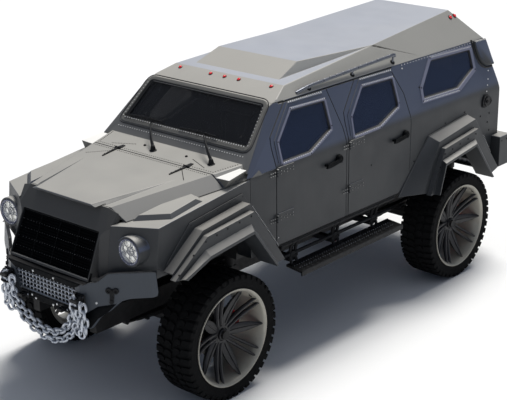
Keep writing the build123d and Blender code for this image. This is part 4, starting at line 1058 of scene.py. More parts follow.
b = Build()
for s in (-1, 1):
    # hinge tails on the hood
    strap(b, [lift(HOOD, s * 0.430, -1.612, 0.0), lift(HOOD, s * 0.424, -1.70, 0.0), lift(HOOD, s * 0.417, -1.80, 0.0)], HOOD[1], [0.026, 0.020, 0.013], [0.012, 0.010, 0.007])
    for t in (0.3, 0.6, 0.85):
        b.bolt(lift(HOOD, s * (0.430 - 0.013 * t), -1.612 - 0.188 * t, 0.009), HOOD[1], 0.006, 0.005)
b.make("hood_hinge_tails", [BLACK], "hood", "black_metal", bevel=0.001)

b = Build()
for s in (-1, 1):
    for k in (-1, 0, 1):
        b.cyl(lift(HOOD, s * 0.430 + k * 0.022 - 0.010, -1.598, 0.008), lift(HOOD, s * 0.430 + k * 0.022 + 0.010, -1.598, 0.008), 0.0095, n=12)
    strap(b, [lift(HOOD, s * 0.430, -1.584, 0.0), lift(HOOD, s * 0.425, -1.52, 0.0)], HOOD[1], [0.050, 0.034], 0.008)
    for dy in (-1.565, -1.538):
        b.bolt(lift(HOOD, s * 0.428, dy, 0.006), HOOD[1], 0.006, 0.005)
b.make("hood_hinge_leaves", [BLACK], "root", "black_metal", bevel=0.001)

# rivet rows on the cowl, mirrored to both sides of the middle
b = Build()
edge = [Vector((0.0, -1.572, 0)), Vector((0.714, -1.566, 0)), Vector((0.790, -1.300, 0))]
for p, q in zip(edge, edge[1:]):
    k = round((q - p).length / 0.026)
    for j in range(k):
        m = p.lerp(q, j / k)
        for s in ((1, -1) if m.x > 0.001 else (1,)):
            b.bolt(lift(HOOD, s * m.x, m.y, 0.0), HOOD[1], 0.0048, 0.004, 6)
for k in range(16):
    for s in (-1, 1):
        b.bolt(lift(HOOD, s * (0.36 + 0.026 * k * 0.55), -1.44 - 0.006 * k, 0.0), HOOD[1], 0.0044, 0.004, 6)
for x, y in ((285, 313), (515, 378), (810, 457), (135, 412), (610, 550), (1375, 605), (1120, 690)):
    p = on(HOOD, x / 8.96 + 85, y / 8.96 + 95)
    if -1.55 < p.y < -1.2:
        b.bolt(p, HOOD[1], 0.0085, 0.005, 8)
b.make("cowl_rivets", [STEEL], "root", "dark_steel")
b = Build()
for k in range(30):
    t = (k + 0.5) / 30
    for s in (-1, 1):
        b.bolt(lift(HOOD, s * 0.715 * t, -1.636, 0.0), HOOD[1], 0.0044, 0.004, 6)
for k in range(14):
    for s in (-1, 1):
        b.bolt(lift(HOOD, s * (0.44 + 0.013 * k), -1.665 - 0.012 * k, 0.0), HOOD[1], 0.0040, 0.0035, 6)
b.make("hood_rivets", [STEEL], "hood", "dark_steel")

# raised boxes on the fender tops
b = Build()
TOPB = [(.670, -2.420), (.870, -2.250), (.850, -1.930), (.690, -1.850)]
LOWB = [(.655, -2.490), (.905, -2.275), (.884, -1.870), (.672, -1.770)]
t0 = [lift(FENDER, x, y, 0.036) for x, y in TOPB]
l0 = [lift(FENDER, x, y, -0.004) for x, y in LOWB]
b.rings([l0, t0])
both(b, "fender_top_box", [PAINT], "root", "paint", bevel=0.004)

# ------------------------------------------------------------- windscreen
def on_screen(x, t, h=0.0):
    """t runs up the windscreen's slope from its lower edge, in metres."""
    up = Vector((0, 1, 1)).normalized()
    p = Vector((x, -1.175, 2.052))
    p += SCREEN[1] * (SCREEN[0] - p).dot(SCREEN[1])
    return p + up * t + SCREEN[1] * h


SC_LEN = hypot(-0.856 + 1.175, 2.371 - 2.052)
SC = [(-0.767, 0.0), (0.767, 0.0), (0.705, SC_LEN), (-0.705, SC_LEN)]


def screen_loop(d, h, r=0.045):
    return [on_screen(u, v, h) for u, v in rounded(grow(SC, d), r, 6)]


b = Build()
b.rings([screen_loop(0.037, -0.002, 0.08), screen_loop(0.0355, 0.0055, 0.08), screen_loop(0.032, 0.0075, 0.08), screen_loop(0.005, 0.0075, 0.05), screen_loop(0.001, 0.005), screen_loop(0.0, -0.012)], caps=False)
b.m = 1
b.rings([screen_loop(0.001, 0.0), screen_loop(-0.006, -0.002), screen_loop(-0.018, -0.011), screen_loop(-0.020, -0.018)], caps=False)
b.m = 2
ring = rounded(grow(SC, 0.052), 0.10, 8)
b.tube([on_screen(u, v, 0.000) for u, v in ring], 0.0050, 8, closed=True)
b.m = 3
k = 52
for j in range(k):
    u = -0.74 + 1.48 * j / (k - 1)
    b.box(on_screen(u, 0.004, 0.014), (0.010, 0.008, 0.008), Matrix.Rotation(radians(45), 3, "X"))
    b.bolt(on_screen(u * 1.05, -0.088, 0.0), SCREEN[1], 0.005, 0.004, 6)
for s in (-1, 1):
    for j in range(12):
        b.bolt(on_screen(s * (0.778 - 0.0105 * j * 0.55), 0.02 + 0.035 * j, 0.012), SCREEN[1], 0.004, 0.004, 6)
b.make("windscreen_frame_seal", [PAINT_RING_LIT, SEAL, SEAL, BRIGHT], "root", "trim_plastic", angle=20)

b = Build()
for base, top, b0, b1 in (((153.2, 150.6), (152.7, 126.6), (126.1, 114.9), (163.9, 123.1)), ((211.3, 164.4), (205.7, 137.3), (180.2, 128.7), (218.0, 137.9))):
    pb = on(HOOD, *base)
    pt = on(SCREEN, *top, 0.040)
    v0, v1 = on(SCREEN, *b0, 0.014), on(SCREEN, *b1, 0.014)
    # spindle with its cap
    b.lathe(pb - HOOD[1] * 0.004, HOOD[1], [(0, 0.034), (0.008, 0.034), (0.014, 0.026), (0.040, 0.021), (0.052, 0.018), (0.058, 0.010), (0.058, 0.0005)], n=20)
    start = pb + HOOD[1] * 0.040
    mid = start.lerp(pt, 0.45) + SCREEN[1] * 0.030
    arm = []
    for j in range(9):
        t = j / 8
        arm.append(start * (1 - t) ** 2 + mid * 2 * t * (1 - t) + pt * t * t)
    strap(b, arm, SCREEN[1], [0.030, 0.030, 0.028, 0.026, 0.022, 0.018, 0.015, 0.013, 0.012], [0.012] * 9, base=-0.006)
    # blade: frame, yokes and rubber
    ax = (v1 - v0).normalized()
    blade_mid = v0.lerp(v1, 0.5)
    foot = v0 + ax * (pt - v0).dot(ax)
    spine = []
    for j in range(11):
        t = j / 10
        spine.append(v0.lerp(v1, t) + SCREEN[1] * (0.004 + 0.022 * sin(pi * t)))
    strap(b, spine, SCREEN[1], 0.012, 0.006)
    strap(b, [v0 - SCREEN[1] * 0.006, v1 - SCREEN[1] * 0.006], SCREEN[1], 0.013, 0.009)
    for t in (0.08, 0.28, 0.50, 0.72, 0.92):
        q = v0.lerp(v1, t)
        b.box(q + SCREEN[1] * (0.002 + 0.011 * sin(pi * t)), (0.012, 0.010, 0.012 + 0.02 * sin(pi * t)), ax.to_track_quat("X", "Z").to_matrix())
    b.tube([pt, foot + SCREEN[1] * 0.028], 0.006, 8)
b.make("wipers", [BLACK], "root", "black_metal", replaces=("wipers",), bevel=0.001)
b = Build()
b.lathe((0, -1.275, HOOD[0].z - (HOOD[1].y * (-1.275 - HOOD[0].y)) / HOOD[1].z - 0.004), HOOD[1], [(0, 0.012), (0.008, 0.012), (0.012, 0.009), (0.013, 0.0005)], n=16)
for s in (-1, 1):
    b.lathe(lift(HOOD, s * 0.26, -1.42, -0.004), HOOD[1], [(0, 0.014), (0.010, 0.013), (0.015, 0.008), (0.016, 0.0005)], n=16)
b.make("washer_jets", [BLACK], "root", "black_metal")

# thin loop of an inner grab handle and the mirror behind the glass
b = Build()
for s in (-1, 1):
    pts = []
    for k in range(13):
        t = k / 12
        pts.append(on_screen(s * (0.60 - 0.02 * sin(pi * t)), 0.10 + 0.28 * t, -0.055 - 0.030 * sin(pi * t)))
    b.tube(pts, 0.012, 8)
b.m = 1
b.box(on_screen(0, SC_LEN - 0.085, -0.110), (0.24, 0.022, 0.070), Matrix.Rotation(radians(12), 3, "X"))
b.cyl(on_screen(0, SC_LEN - 0.06, -0.10), on_screen(0, SC_LEN - 0.01, -0.045), 0.010, n=10)
b.make("cab_grab_handles", [TRIM, TRIM], "root", "trim_plastic", bevel=0.004)

# ------------------------------------------------------------------ grille
def on_face(u, v, h=0.0):
    """u from -1 to 1 across the grille, v from 0 at its top to 1 at its foot."""
    a = Vector((0.471 * u, -2.679, 1.651))
    c = Vector((0.487 * u, -2.849, 1.263))
    return a.lerp(c, v) + SHELL_FACE[1] * h


b = Build()
b.rings([[on_face(u, v, -0.036) for u, v in ((-0.975, 0.015), (0.975, 0.015), (0.975, 0.99), (-0.975, 0.99))],
         [on_face(u, v, -0.030) for u, v in ((-0.975, 0.015), (0.975, 0.015), (0.975, 0.99), (-0.975, 0.99))]])
# tilted slats
for k in range(18):
    v = 0.045 + 0.054 * k
    loop = []
    for dv, h in ((-0.016, -0.026), (-0.010, -0.024), (0.022, -0.006), (0.022, -0.012), (0.016, -0.018)):
        loop.append((v + dv, h))
    b.rings([[on_face(-0.968, vv, h) for vv, h in loop], [on_face(0.968, vv, h) for vv, h in loop]])
for u in (-0.5, 0.0, 0.5):
    b.rings([[on_face(u + du, 0.02, h) for du, h in ((-0.010, -0.028), (0.010, -0.028), (0.010, -0.014), (-0.010, -0.014))],
             [on_face(u + du, 0.985, h) for du, h in ((-0.010, -0.028), (0.010, -0.028), (0.010, -0.014), (-0.010, -0.014))]])
# frame of flat bar
fr = [(-0.985, 0.008), (0.985, 0.008), (0.985, 0.992), (-0.985, 0.992)]
for (u0, v0), (u1, v1) in zip(fr, fr[1:] + fr[:1]):
    strap(b, [on_face(u0, v0, -0.030), on_face(u1, v1, -0.030)], SHELL_FACE[1], 0.022, 0.026)
b.m = 1
for v in (0.20, 0.37, 0.56, 0.76):
    for j in range(30):
        u = -0.93 + 1.86 * (j / 29) ** 0.85
        b.bolt(on_face(u, v + 0.012, -0.010), SHELL_FACE[1], 0.0034, 0.005, 6)
b.make("grille_slats", [GRILLE, STUD_DIM], "root", "black_metal")

# ----------------------------------------------------------- front bumper
BF = -2.890
b = Build()
# black plate over the mesh opening with two bolts
up = [(-0.455, 1.247), (0.455, 1.247), (0.372, 1.196), (-0.372, 1.196)]
b.rings([[(x, BF - 0.001, z) for x, z in up], [(x * 0.995, BF - 0.009, z) for x, z in up], [(x * 0.985, BF - 0.012, z + (0.002 if z < 1.22 else -0.003)) for x, z in up]])
# black plate below the mesh
lo = [(-0.300, 1.016), (0.300, 1.016), (0.235, 0.958), (-0.235, 0.958)]
b.rings([[(x, BF - 0.001, z) for x, z in lo], [(x * 0.995, BF - 0.009, z) for x, z in lo], [(x * 0.98, BF - 0.012, z + (0.004 if z < 0.99 else -0.004)) for x, z in lo]])
b.m = 1
for x, z in ((-0.128, 1.221), (0.128, 1.221), (-0.158, 0.995), (0.158, 0.995), (-0.110, 0.975), (0.110, 0.975)):
    b.bolt((x, BF - 0.012, z), (0, -1, 0), 0.0095, 0.007, 10)
b.m = 2
# rubber strip that closes the bumper's top edge under the grille
top = [(0.0, 1.2385), (0.22, 1.2455), (0.487, 1.2545)]
pts = [(-x, z) for x, z in top[::-1]] + top[1:]
b.rings([[(x, BF + 0.0005 + d, z + h) for d, h in ((-0.004, -0.006), (-0.004, 0.004), (0.056, 0.004), (0.056, -0.002), (0.0, -0.002))] for x, z in pts])
b.make("bumper_plates", [GRILLE, BRIGHT, SEAL], "root", "black_metal")
# black guards on the bumper's lower horns
b = Build()
horn = [(0.700, 1.092), (0.636, 1.004), (0.572, 0.950), (0.524, 0.868), (0.458, 0.868), (0.470, 0.985), (0.560, 1.060)]
def wing_at(x, z, h):
    p, n = WING
    y = p.y - (n.x * (x - p.x) + n.z * (z - p.z)) / n.y
    return Vector((x, max(y, BF) if x < 0.5 else y, z)) + n * h
b.rings([[wing_at(x, z, -0.002) for x, z in grow(horn, -0.004)], [wing_at(x, z, 0.006) for x, z in grow(horn, -0.005)], [wing_at(x, z, 0.009) for x, z in grow(horn, -0.010)]])
for x, z in grow(horn, -0.022):
    b.bolt(wing_at(x, z, 0.008), WING[1], 0.006, 0.005, 8)
both(b, "bumper_horn_guard", [GRILLE], "root", "black_metal")
# plain mesh of round bar, with black behind it
b = Build()
MZ0, MZ1 = 1.016, 1.198
for j in range(6):
    z = MZ0 + (MZ1 - MZ0) * j / 5
    w = 0.335 + 0.045 * j / 5
    b.tube([(-w, -2.872, z), (0, -2.872, z), (w, -2.872, z)], 0.0050, 8)
for j in range(17):
    x = -0.36 + 0.045 * j
    hi, lo_z = MZ1, MZ0 if abs(x) < 0.335 else MZ0 + (abs(x) - 0.335) / 0.045 * (MZ1 - MZ0)
    b.tube([(x, -2.865, lo_z - 0.004), (x, -2.865, (hi + lo_z) / 2), (x, -2.865, hi + 0.004)], 0.0048, 8)
b.m = 1
b.box((0, -2.846, 1.108), (0.70, 0.008, 0.205))
for j in range(5):
    b.box((0, -2.842, 1.03 + 0.038 * j), (0.66, 0.012, 0.012), Matrix.Rotation(0.5, 3, "X"))
b.make("bumper_mesh", [ZINC, BLACK], "root", "galvanised", replaces=("grilles",), bevel=0.0)

# bumper wings: seam line, towing brackets, bolts and inner hole
wx, wy_ = WING[0], WING[1]
b = Build()
seam = [(91.8, 279.6), (98.0, 279.9), (103.0, 276.6), (108.0, 273.3), (118.0, 272.5), (130.0, 272.0), (146.0, 270.7), (160.0, 269.6)]
pts = [on(WING, *p, -0.001) for p in seam]
strap(b, pts, WING[1], [0.030, 0.028, 0.014, 0.010, 0.008, 0.008, 0.007, 0.006], 0.0035)
b.lathe(on(WING, 94.6, 280.0, -0.002), WING[1], [(0, 0.024), (0.006, 0.024), (0.006, 0.016), (0.003, 0.015), (0.003, 0.0005)], n=20)
both(b, "bumper_seam", [SEAL], "root", "trim_plastic")
b = Build()
e0, e1, st = Vector((.635, -2.754, 1.199)), Vector((.684, -2.721, 1.198)), Vector((.660, -2.746, 1.103))
n = WING[1]
e0, e1, st = [p + n * ((WING[0] - p).dot(n)) for p in (e0, e1, st)]
for p in (e0, e1):
    b.lathe(p - n * 0.002, n, [(0, 0.026), (0.012, 0.026), (0.015, 0.023), (0.015, 0.013), (0.004, 0.012), (0.004, 0.0005)], n=20)
mid = e0.lerp(e1, 0.5)
strap(b, [mid, mid.lerp(st, 0.5), st], n, [0.046, 0.034, 0.030], 0.013, base=-0.002)
strap(b, [e0, e1], n, 0.030, 0.010, base=-0.002)
b.cyl(st - n * 0.004, st + n * 0.020, 0.018, n=12)
b.bolt(mid.lerp(st, 0.55) + n * 0.011, n, 0.007, 0.005)
both(b, "bumper_bracket", [BLACK], "root", "black_metal", bevel=0.001)
b = Build()
for p in ((96.5, 303.1), (96.6, 309.9)):
    b.bolt(on(WING, *p), n, 0.010, 0.006, 10)
for p in ((88.0, 262.0), (95.5, 236.5), (100.9, 229.0), (112.0, 226.7)):
    q = on(SHELL_FACE, *p)
both(b, "bumper_wing_bolts", [BRIGHT], "root", "galvanised")

# shackles round the chain's ends
b = Build()
for s in (-1, 1):
    c = Vector((s * 0.446, -2.944, 1.100))
    pts = []
    for k in range(15):
        t = -0.5 + k / 14
        pts.append(c + Vector((0.062 * sin(2.1 * pi * t * 0.5), -0.020 - 0.012 * cos(pi * t), 0.0)))
    ring = []
    for k in range(24):
        a = 2 * pi * k / 24
        ring.append(Vector((s * 0.446 + 0.058 * cos(a), -2.932 + 0.034 * sin(a), 1.062)))
    b.tube(ring, 0.011, 10, closed=True)
    for e in (-1, 1):
        b.lathe((s * 0.446 + e * 0.030, -2.915, 1.142), (e, 0, 0), [(0, 0.019), (0.014, 0.019), (0.017, 0.014), (0.017, 0.0005)], n=16)
    b.cyl((s * 0.446 - 0.052, -2.915, 1.142), (s * 0.446 + 0.052, -2.915, 1.142), 0.011, n=12)
    # cheek plates bolted to the bumper face
    for e in (-1, 1):
        out = [(-2.8905, 1.165), (-2.935, 1.160), (-2.955, 1.142), (-2.945, 1.112), (-2.8905, 1.080)]
        b.prism([(s * 0.446 + e * 0.030, y, z) for y, z in out], (e * 0.012, 0, 0))
b.make("chain_shackles", [BLACK], "root", "black_metal", bevel=0.001)
paint_node("tow_hooks", BLACK)
b = Build()
for s in (-1, 1):
    for dx in (-0.042, 0.042):
        for dz in (-0.030, 0.030):
            b.bolt((s * 0.446 + dx, -2.908, 1.120 + dz), (0, -1, 0), 0.008, 0.006, 6)
        b.bolt((s * 0.250 + dx, -2.908, 0.985), (0, -1, 0), 0.008, 0.006, 6)
b.make("tow_plate_bolts", [ZINC], "root", "galvanised")

# ------------------------------------------------------------------- chain
def link(b, c, t, nrm, length=0.098, width=0.072, r=0.0120, n=18, m=7):
    """One oval link: its long way lies along t, and it stands across nrm."""
    t = Vector(t).normalized()
    nrm = (Vector(nrm) - t * Vector(nrm).dot(t)).normalized()
    s = t.cross(nrm)
    pts = []
    straight = (length - width) / 2
    for k in range(n):
        a = 2 * pi * k / n
        ca, sa = cos(a), sin(a)
        pts.append(Vector(c) + t * (ca * (width / 2 - r) + (straight if ca > 0 else -straight)) + s * (sa * (width / 2 - r)))
    b.tube(pts, r, m, closed=True)


def strand(b, pts, offset, pitch=0.064, phase=0.0, tilt=32):
    """Links along a smooth line through pts on the chain's plane, moved sideways by offset."""
    pts = [Vector(p) for p in pts]
    fine = []
    n = len(pts)
    for i in range(n - 1):
        p0, p1, p2, p3 = pts[max(i - 1, 0)], pts[i], pts[i + 1], pts[min(i + 2, n - 1)]
        for j in range(12):
            t = j / 12
            fine.append(0.5 * ((2 * p1) + (p2 - p0) * t + (2 * p0 - 5 * p1 + 4 * p2 - p3) * t * t + (3 * p1 - p0 - 3 * p2 + p3) * t ** 3))
    fine.append(pts[-1])
    d, k, want = 0.0, 0, phase
    for a, c in zip(fine, fine[1:]):
        seg = (c - a).length
        while want <= d + seg:
            u = (want - d) / seg
            t = (c - a).normalized()
            side = t.cross(Vector((0, -1, 0))).normalized()
            w = 0.4 * sin(k * 1.7 + offset * 40)
            nr = Vector((0, -1, 0)) * cos(radians((tilt if k % 2 else -tilt) + 8 * w)) + side * sin(radians((tilt if k % 2 else -tilt) + 8 * w))
            link(b, a.lerp(c, u) + side * (offset + 0.003 * w), t, nr)
            want += pitch
            k += 1
        d += seg


CHAIN = [(-0.405, 1.120), (-0.395, 1.030), (-0.370, 0.950), (-0.295, 0.860), (-0.185, 0.790), (-0.070, 0.735), (0.050, 0.712), (0.165, 0.722), (0.270, 0.765), (0.350, 0.840), (0.405, 0.930), (0.435, 1.030), (0.446, 1.120)]
b = Build()
pl = [(x, -2.940, z) for x, z in CHAIN]
strand(b, pl, 0.036)
strand(b, pl, -0.036, phase=0.030)
for x0, x1, x2, z2 in ((-0.425, -0.431, -0.413, 0.800), (0.462, 0.486, 0.492, 0.760)):
    for dx, ph in ((-0.052, 0.0), (0.0, 0.015), (0.052, 0.03)):
        strand(b, [(x0 + dx, -2.936, 1.10), (x1 + dx * 0.9, -2.936, 0.98), (x1 + dx * 0.9, -2.936, 0.87), (x2 + dx * 0.6, -2.936, z2 + 0.03 + abs(dx) * 0.8)], 0.0, phase=ph)
b.make("chain_links", [ZINC], "root", "galvanised", replaces=("tow_chain",), angle=60)

# --------------------------------------------------------------- headlights
b = Build()
POD = Vector((0.747, 0, 1.525))


def lamp_ring(prof, n=48):
    b.lathe((POD.x, 0, POD.z), (0, -1, 0), prof, n=n)


b.m = 0
b.lathe((POD.x, -2.560, POD.z), (0, -1, 0), [(0.0, 0.110), (0.083, 0.112), (0.090, 0.109), (0.092, 0.103), (0.086, 0.098), (0.070, 0.096), (0.030, 0.085), (0.012, 0.050), (0.008, 0.0005)], n=56)
b.m = 1
b.lathe((POD.x, -2.590, POD.z), (0, -1, 0), [(0.0, 0.048), (0.012, 0.080), (0.044, 0.0945), (0.046, 0.093), (0.016, 0.078), (0.003, 0.046)], n=56, closed=True)
b.lathe((POD.x, -2.592, POD.z), (0, -1, 0), [(0.0, 0.046), (0.004, 0.046), (0.005, 0.0005)], n=40)
# lattice of bars over the bowls
for a in (20, 80, 140):
    d = Vector((cos(radians(a)), 0, sin(radians(a))))
    b.m = 2
    strap(b, [Vector((POD.x, -2.624, POD.z)) - d * 0.092, Vector((POD.x, -2.628, POD.z)), Vector((POD.x, -2.624, POD.z)) + d * 0.092], (0, -1, 0), 0.008, 0.006)
b.m = 2
b.lathe((POD.x, -2.618, POD.z), (0, -1, 0), [(0.0, 0.038), (0.012, 0.038), (0.012, 0.031), (0.0, 0.031)], n=36, closed=True)
b.m = 3
for k in range(6):
    a = radians(50 + 60 * k)
    b.lathe((POD.x + 0.062 * cos(a), -2.605, POD.z + 0.062 * sin(a)), (0, -1, 0), [(0, 0.006), (0.010, 0.019), (0.012, 0.018), (0.004, 0.005), (0.003, 0.0005)], n=16)
b.lathe((POD.x, -2.610, POD.z), (0, -1, 0), [(0, 0.012), (0.008, 0.023), (0.012, 0.020), (0.013, 0.0005)], n=20)
b.m = 4
for k in range(12):
    a = radians(15 + 30 * k)
    b.bolt((POD.x + 0.104 * cos(a), -2.650, POD.z + 0.104 * sin(a)), (0, -1, 0), 0.0036, 0.003, 6)
b = b.moved((0, 0.024, 0))
both(b, "headlight", [BEZEL, LAMP_CHROME, STEEL, LED, BRIGHT], "root", "lamp_glass", bevel=0.0)
b = Build()
b.lathe((POD.x, -2.634, POD.z), (0, -1, 0), [(0.0, 0.0985), (0.008, 0.095), (0.014, 0.080), (0.019, 0.050), (0.021, 0.020), (0.021, 0.0005)], n=48)
b = b.moved((0, 0.024, 0))
l, r = both(b, "headlight_lens", [LENS], "root", "lamp_glass")
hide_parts("headlights")

# --------------------------------------------------- mounting plates of the flares
def hull_strip(name, outer, w, h, bolts_gap=0.15):
    """A thin plate w wide along an open (y, z) line on the lower side, with bolts along it."""
    b = Build()
    line = [Vector(p) for p in outer]
    left, right = [], []
    for i, p in enumerate(line):
        d1 = (line[i] - line[i - 1]).normalized() if i else (line[1] - line[0]).normalized()
        d2 = (line[i + 1] - line[i]).normalized() if i < len(line) - 1 else d1
        n = (Vector((-d1.y, d1.x)) + Vector((-d2.y, d2.x))).normalized()
        k = 1 / max(0.4, n.dot(Vector((-d1.y, d1.x))))
        left.append(p)
        right.append(p - n * w * k)
    loops = []
    for a, c in zip(left, right):
        e = (c - a).normalized()
        loops.append([S(a.x, a.y, -0.002), S(a.x + e.x * 0.001, a.y + e.y * 0.001, h * 0.7), S(a.x + e.x * 0.004, a.y + e.y * 0.004, h), S(c.x, c.y, h), S(c.x, c.y, -0.002)])
    b.rings(loops)
    b.m = 1
    for y, z in along([tuple(p) for p in left], bolts_gap, closed=False):
        c = min(range(len(left)), key=lambda i: (left[i] - Vector((y, z))).length)
        b.bolt(S(y, z - 0.022, h), (1, 0, 0), 0.0075, 0.005, 8)
    return b


edge_front = [side_at(*p) for p in ((172.0, 264.5), (180.6, 243.3), (190.2, 222.6), (241.8, 194.0))]
edge_front = [(y, min(z, 1.795)) for y, z in edge_front]
both(hull_strip("front_flare_plate", edge_front, 0.055, 0.006), "front_flare_plate", [PAINT, BLACK], "root", "paint")

# rows of small bright studs down the flares' rear legs and along the front foot
b = Build()
p, q = side_at(252.4, 206.4), side_at(278.4, 245.2)
for j in range(34):
    t = j / 33
    y, z = p[0] + (q[0] - p[0]) * t, p[1] + (q[1] - p[1]) * t
    b.bolt(S(y, z), SN(z), 0.0042, 0.0045, 6)
p, q = side_at(483.3, 135.3), side_at(495.0, 162.5)
for j in range(20):
    t = j / 19
    y, z = p[0] + (q[0] - p[0]) * t, p[1] + (q[1] - p[1]) * t
    if y < 2.76:
        b.bolt(S(y, z), SN(z), 0.0050, 0.0045, 6)
for y, z in (side_at(287.0, 215.5), side_at(278.6, 237.5)):
    b.bolt(S(y, z), SN(z), 0.006, 0.004, 6)
both(b, "flare_studs", [BRIGHT], "root", "galvanised")
b = Build()
for name, x, pts in (("f", 1.092, [(-2.395, 1.34), (-2.22, 1.46), (-2.07, 1.535), (-1.80, 1.572), (-1.50, 1.598)]),
                     ("r", 1.092, [(1.42, 1.30), (1.50, 1.425), (1.78, 1.465), (2.08, 1.505)])):
    for y, z in along(pts, 0.17, closed=False):
        b.bolt((x - 0.003, y, z), (1, 0, 0), 0.0085, 0.007, 8)
both(b, "flare_bolts", [BLACK], "root", "black_metal")

# ------------------------------------------------------------- side steps
b = Build()
X0, X1, ZP = 0.862, 1.086, 0.860
# folded tread plate edges
b.m = 0
for xx in (X0 + 0.012, X1 - 0.006):
    y0, y1 = (-0.765, 0.825) if xx < 1 else (-0.798, 0.788)
    strap(b, [(xx, y0, ZP), (xx, y1, ZP)], (0, 0, 1), 0.010, 0.007)
# raised rings punched through the plate, as on a grip tread

for i in range(3):
    x = 0.912 + 0.062 * i
    for j in range(22):
        y = -0.735 + 0.068 * j + (0.034 if i % 2 else 0)
        b.m = 0
        b.lathe((x, y, ZP - 0.001), (0, 0, 1), [(0, 0.022), (0.004, 0.020), (0.0055, 0.017), (0.004, 0.014), (0.0012, 0.012), (0.0012, 0.0005)], n=14)
        b.m = 1
        for dx, dy in ((0.030, 0.0), (-0.030, 0.0)):
            if X0 + 0.02 < x + dx < X1 - 0.02:
                b.bolt((x + dx, y, ZP), (0, 0, 1), 0.0042, 0.004, 6)
both(b, "step_tread", [BLACK, ZINC], "root", "black_metal")
# clamps where the brackets carry the rails and the plate
b = Build()
for yb in (-0.690, -0.060, 0.560):
    for dy in (-0.038, 0.038):
        b.lathe((0.902, yb + dy - 0.018, 1.086), (0, 1, 0), [(0, 0.026), (0.003, 0.029), (0.033, 0.029), (0.036, 0.026)], n=20)
        b.lathe((0.884, yb + dy - 0.015, 0.962), (0, 1, 0), [(0, 0.019), (0.003, 0.022), (0.027, 0.022), (0.030, 0.019)], n=20)
    b.box((0.905, yb, 0.866), (0.060, 0.120, 0.010))
    for dx in (-0.018, 0.018):
        for dy in (-0.045, 0.045):
            b.bolt((0.905 + dx, yb + dy, 0.871), (0, 0, 1), 0.007, 0.006, 6)
    # gusset between bracket and rail
    b.prism([(0.874, yb - 0.004, 0.965), (0.899, yb - 0.004, 1.070), (0.874, yb - 0.004, 1.050)], (0, 0.008, 0))
for y in (-0.900, 0.860):
    e = -1 if y < 0 else 1
    b.lathe((0.902, y - e * 0.012, 1.086), (0, e, 0), [(0, 0.0255), (0.012, 0.0255), (0.0135, 0.022), (0.0135, 0.0005)], n=20)
both(b, "step_clamps", [BLACK], "root", "black_metal", bevel=0.0015)
paint_node("side_steps", BLACK)

# rocker strip below the doors: folded lip with its fixing bolts
b = Build()
strap(b, [(0.936, -1.10, 1.1225), (0.936, 1.10, 1.1225)], (0, 0, -1), 0.012, 0.004)
for j in range(15):
    b.bolt((0.928, -1.05 + 0.15 * j, 1.116), (0, 0, -1), 0.006, 0.004, 6)
both(b, "rocker_lip", [BLACK], "root", "black_metal")

# ---------------------------------------------------------- roof furniture
b = Build()
for s in (-1, 1):
    pts = [(0.746, -0.485, 2.414), (0.748, -0.465, 2.420), (0.750, -0.400, 2.431), (0.752, -0.340, 2.441), (0.752, -0.280, 2.4466), (0.752, 0.0, 2.457), (0.752, 0.45, 2.4735),
           (0.752, 0.94, 2.4915), (0.752, 1.010, 2.494), (0.750, 1.035, 2.490), (0.747, 1.046, 2.476)]
    b.m = 0
    b.tube([(s * x, y, z) for x, y, z in pts], 0.0165, 14)
    for y, zr in ((-0.300, 2.446), (0.360, 2.470), (1.016, 2.494)):
        b.m = 0
        b.tube([(s * 0.752, y, zr), (s * 0.748, y, (zr + 2.416) / 2), (s * 0.742, y, 2.414)], [0.011, 0.010, 0.012], 12)
        b.m = 1
        n = Vector((s * 0.690, 0, 0.724)).normalized()
        b.lathe(Vector((s * 0.744, y, 2.4205)) - n * 0.004, n, [(0, 0.026), (0.008, 0.026), (0.011, 0.022), (0.012, 0.012), (0.012, 0.0005)], n=20)
        for dy in (-0.018, 0.018):
            b.bolt(Vector((s * 0.744, y + dy, 2.4205)) + n * 0.005, n, 0.0045, 0.005, 6)
    for k in range(14):
        y = -0.26 + 0.093 * k
        b.m = 2
        b.bolt((s * 0.752, y, 2.446 + 0.0368 * (y + 0.30) + 0.0155), (0, 0, 1), 0.0045, 0.004, 6)
b.make("roof_rails", [RAIL, BLACK, BRIGHT], "root", "rim", replaces=("roof_rails",), bevel=0.0)

b = Build()
for x, y, z, n in [(0.0, -0.617, 2.477, HEADER[1]), (0.176, -0.617, 2.477, HEADER[1]), (-0.176, -0.617, 2.477, HEADER[1]), (0.568, -0.617, 2.477, HEADER[1]), (-0.568, -0.617, 2.477, HEADER[1])]:
    p = lift(HEADER, x, y, 0.0)
    b.m = 1
    b.lathe(p - n * 0.003, n, [(0, 0.021), (0.006, 0.021), (0.008, 0.018), (0.008, 0.0005)], n=24)
    b.m = 0
    b.lathe(p + n * 0.004, n, [(0, 0.0155), (0.005, 0.0152), (0.009, 0.013), (0.012, 0.008), (0.013, 0.0005)], n=24)
for px, py in ((450.0, 17.4), (454.2, 15.7)):
    p = on(ROOF_SIDE, px, py)
    n = ROOF_SIDE[1]
    for s in (1, -1):
        q, m = Vector((s * p.x, p.y, p.z)), Vector((s * n.x, n.y, n.z))
        b.m = 1
        b.lathe(q - m * 0.003, m, [(0, 0.026), (0.006, 0.026), (0.009, 0.022), (0.009, 0.0005)], n=24)
        b.m = 0
        b.lathe(q + m * 0.003, m, [(0, 0.0185), (0.006, 0.018), (0.011, 0.015), (0.0145, 0.009), (0.016, 0.0005)], n=24)
b.make("marker_lamps", [RED, BLACK], "root", "red_lens")

# fixing studs along the roof's edge
b = Build()
for s in (-1, 1):
    for j in range(30):
        y = 1.12 + 0.050 * j
        b.bolt((s * 0.7835, y, 2.376), (s * 0.95, 0, 0.3), 0.0052, 0.004, 6)
b.make("gutter_studs", [BRIGHT], "root", "galvanised")

# ------------------------------------------------------------------- tail
RU = REAR_UP


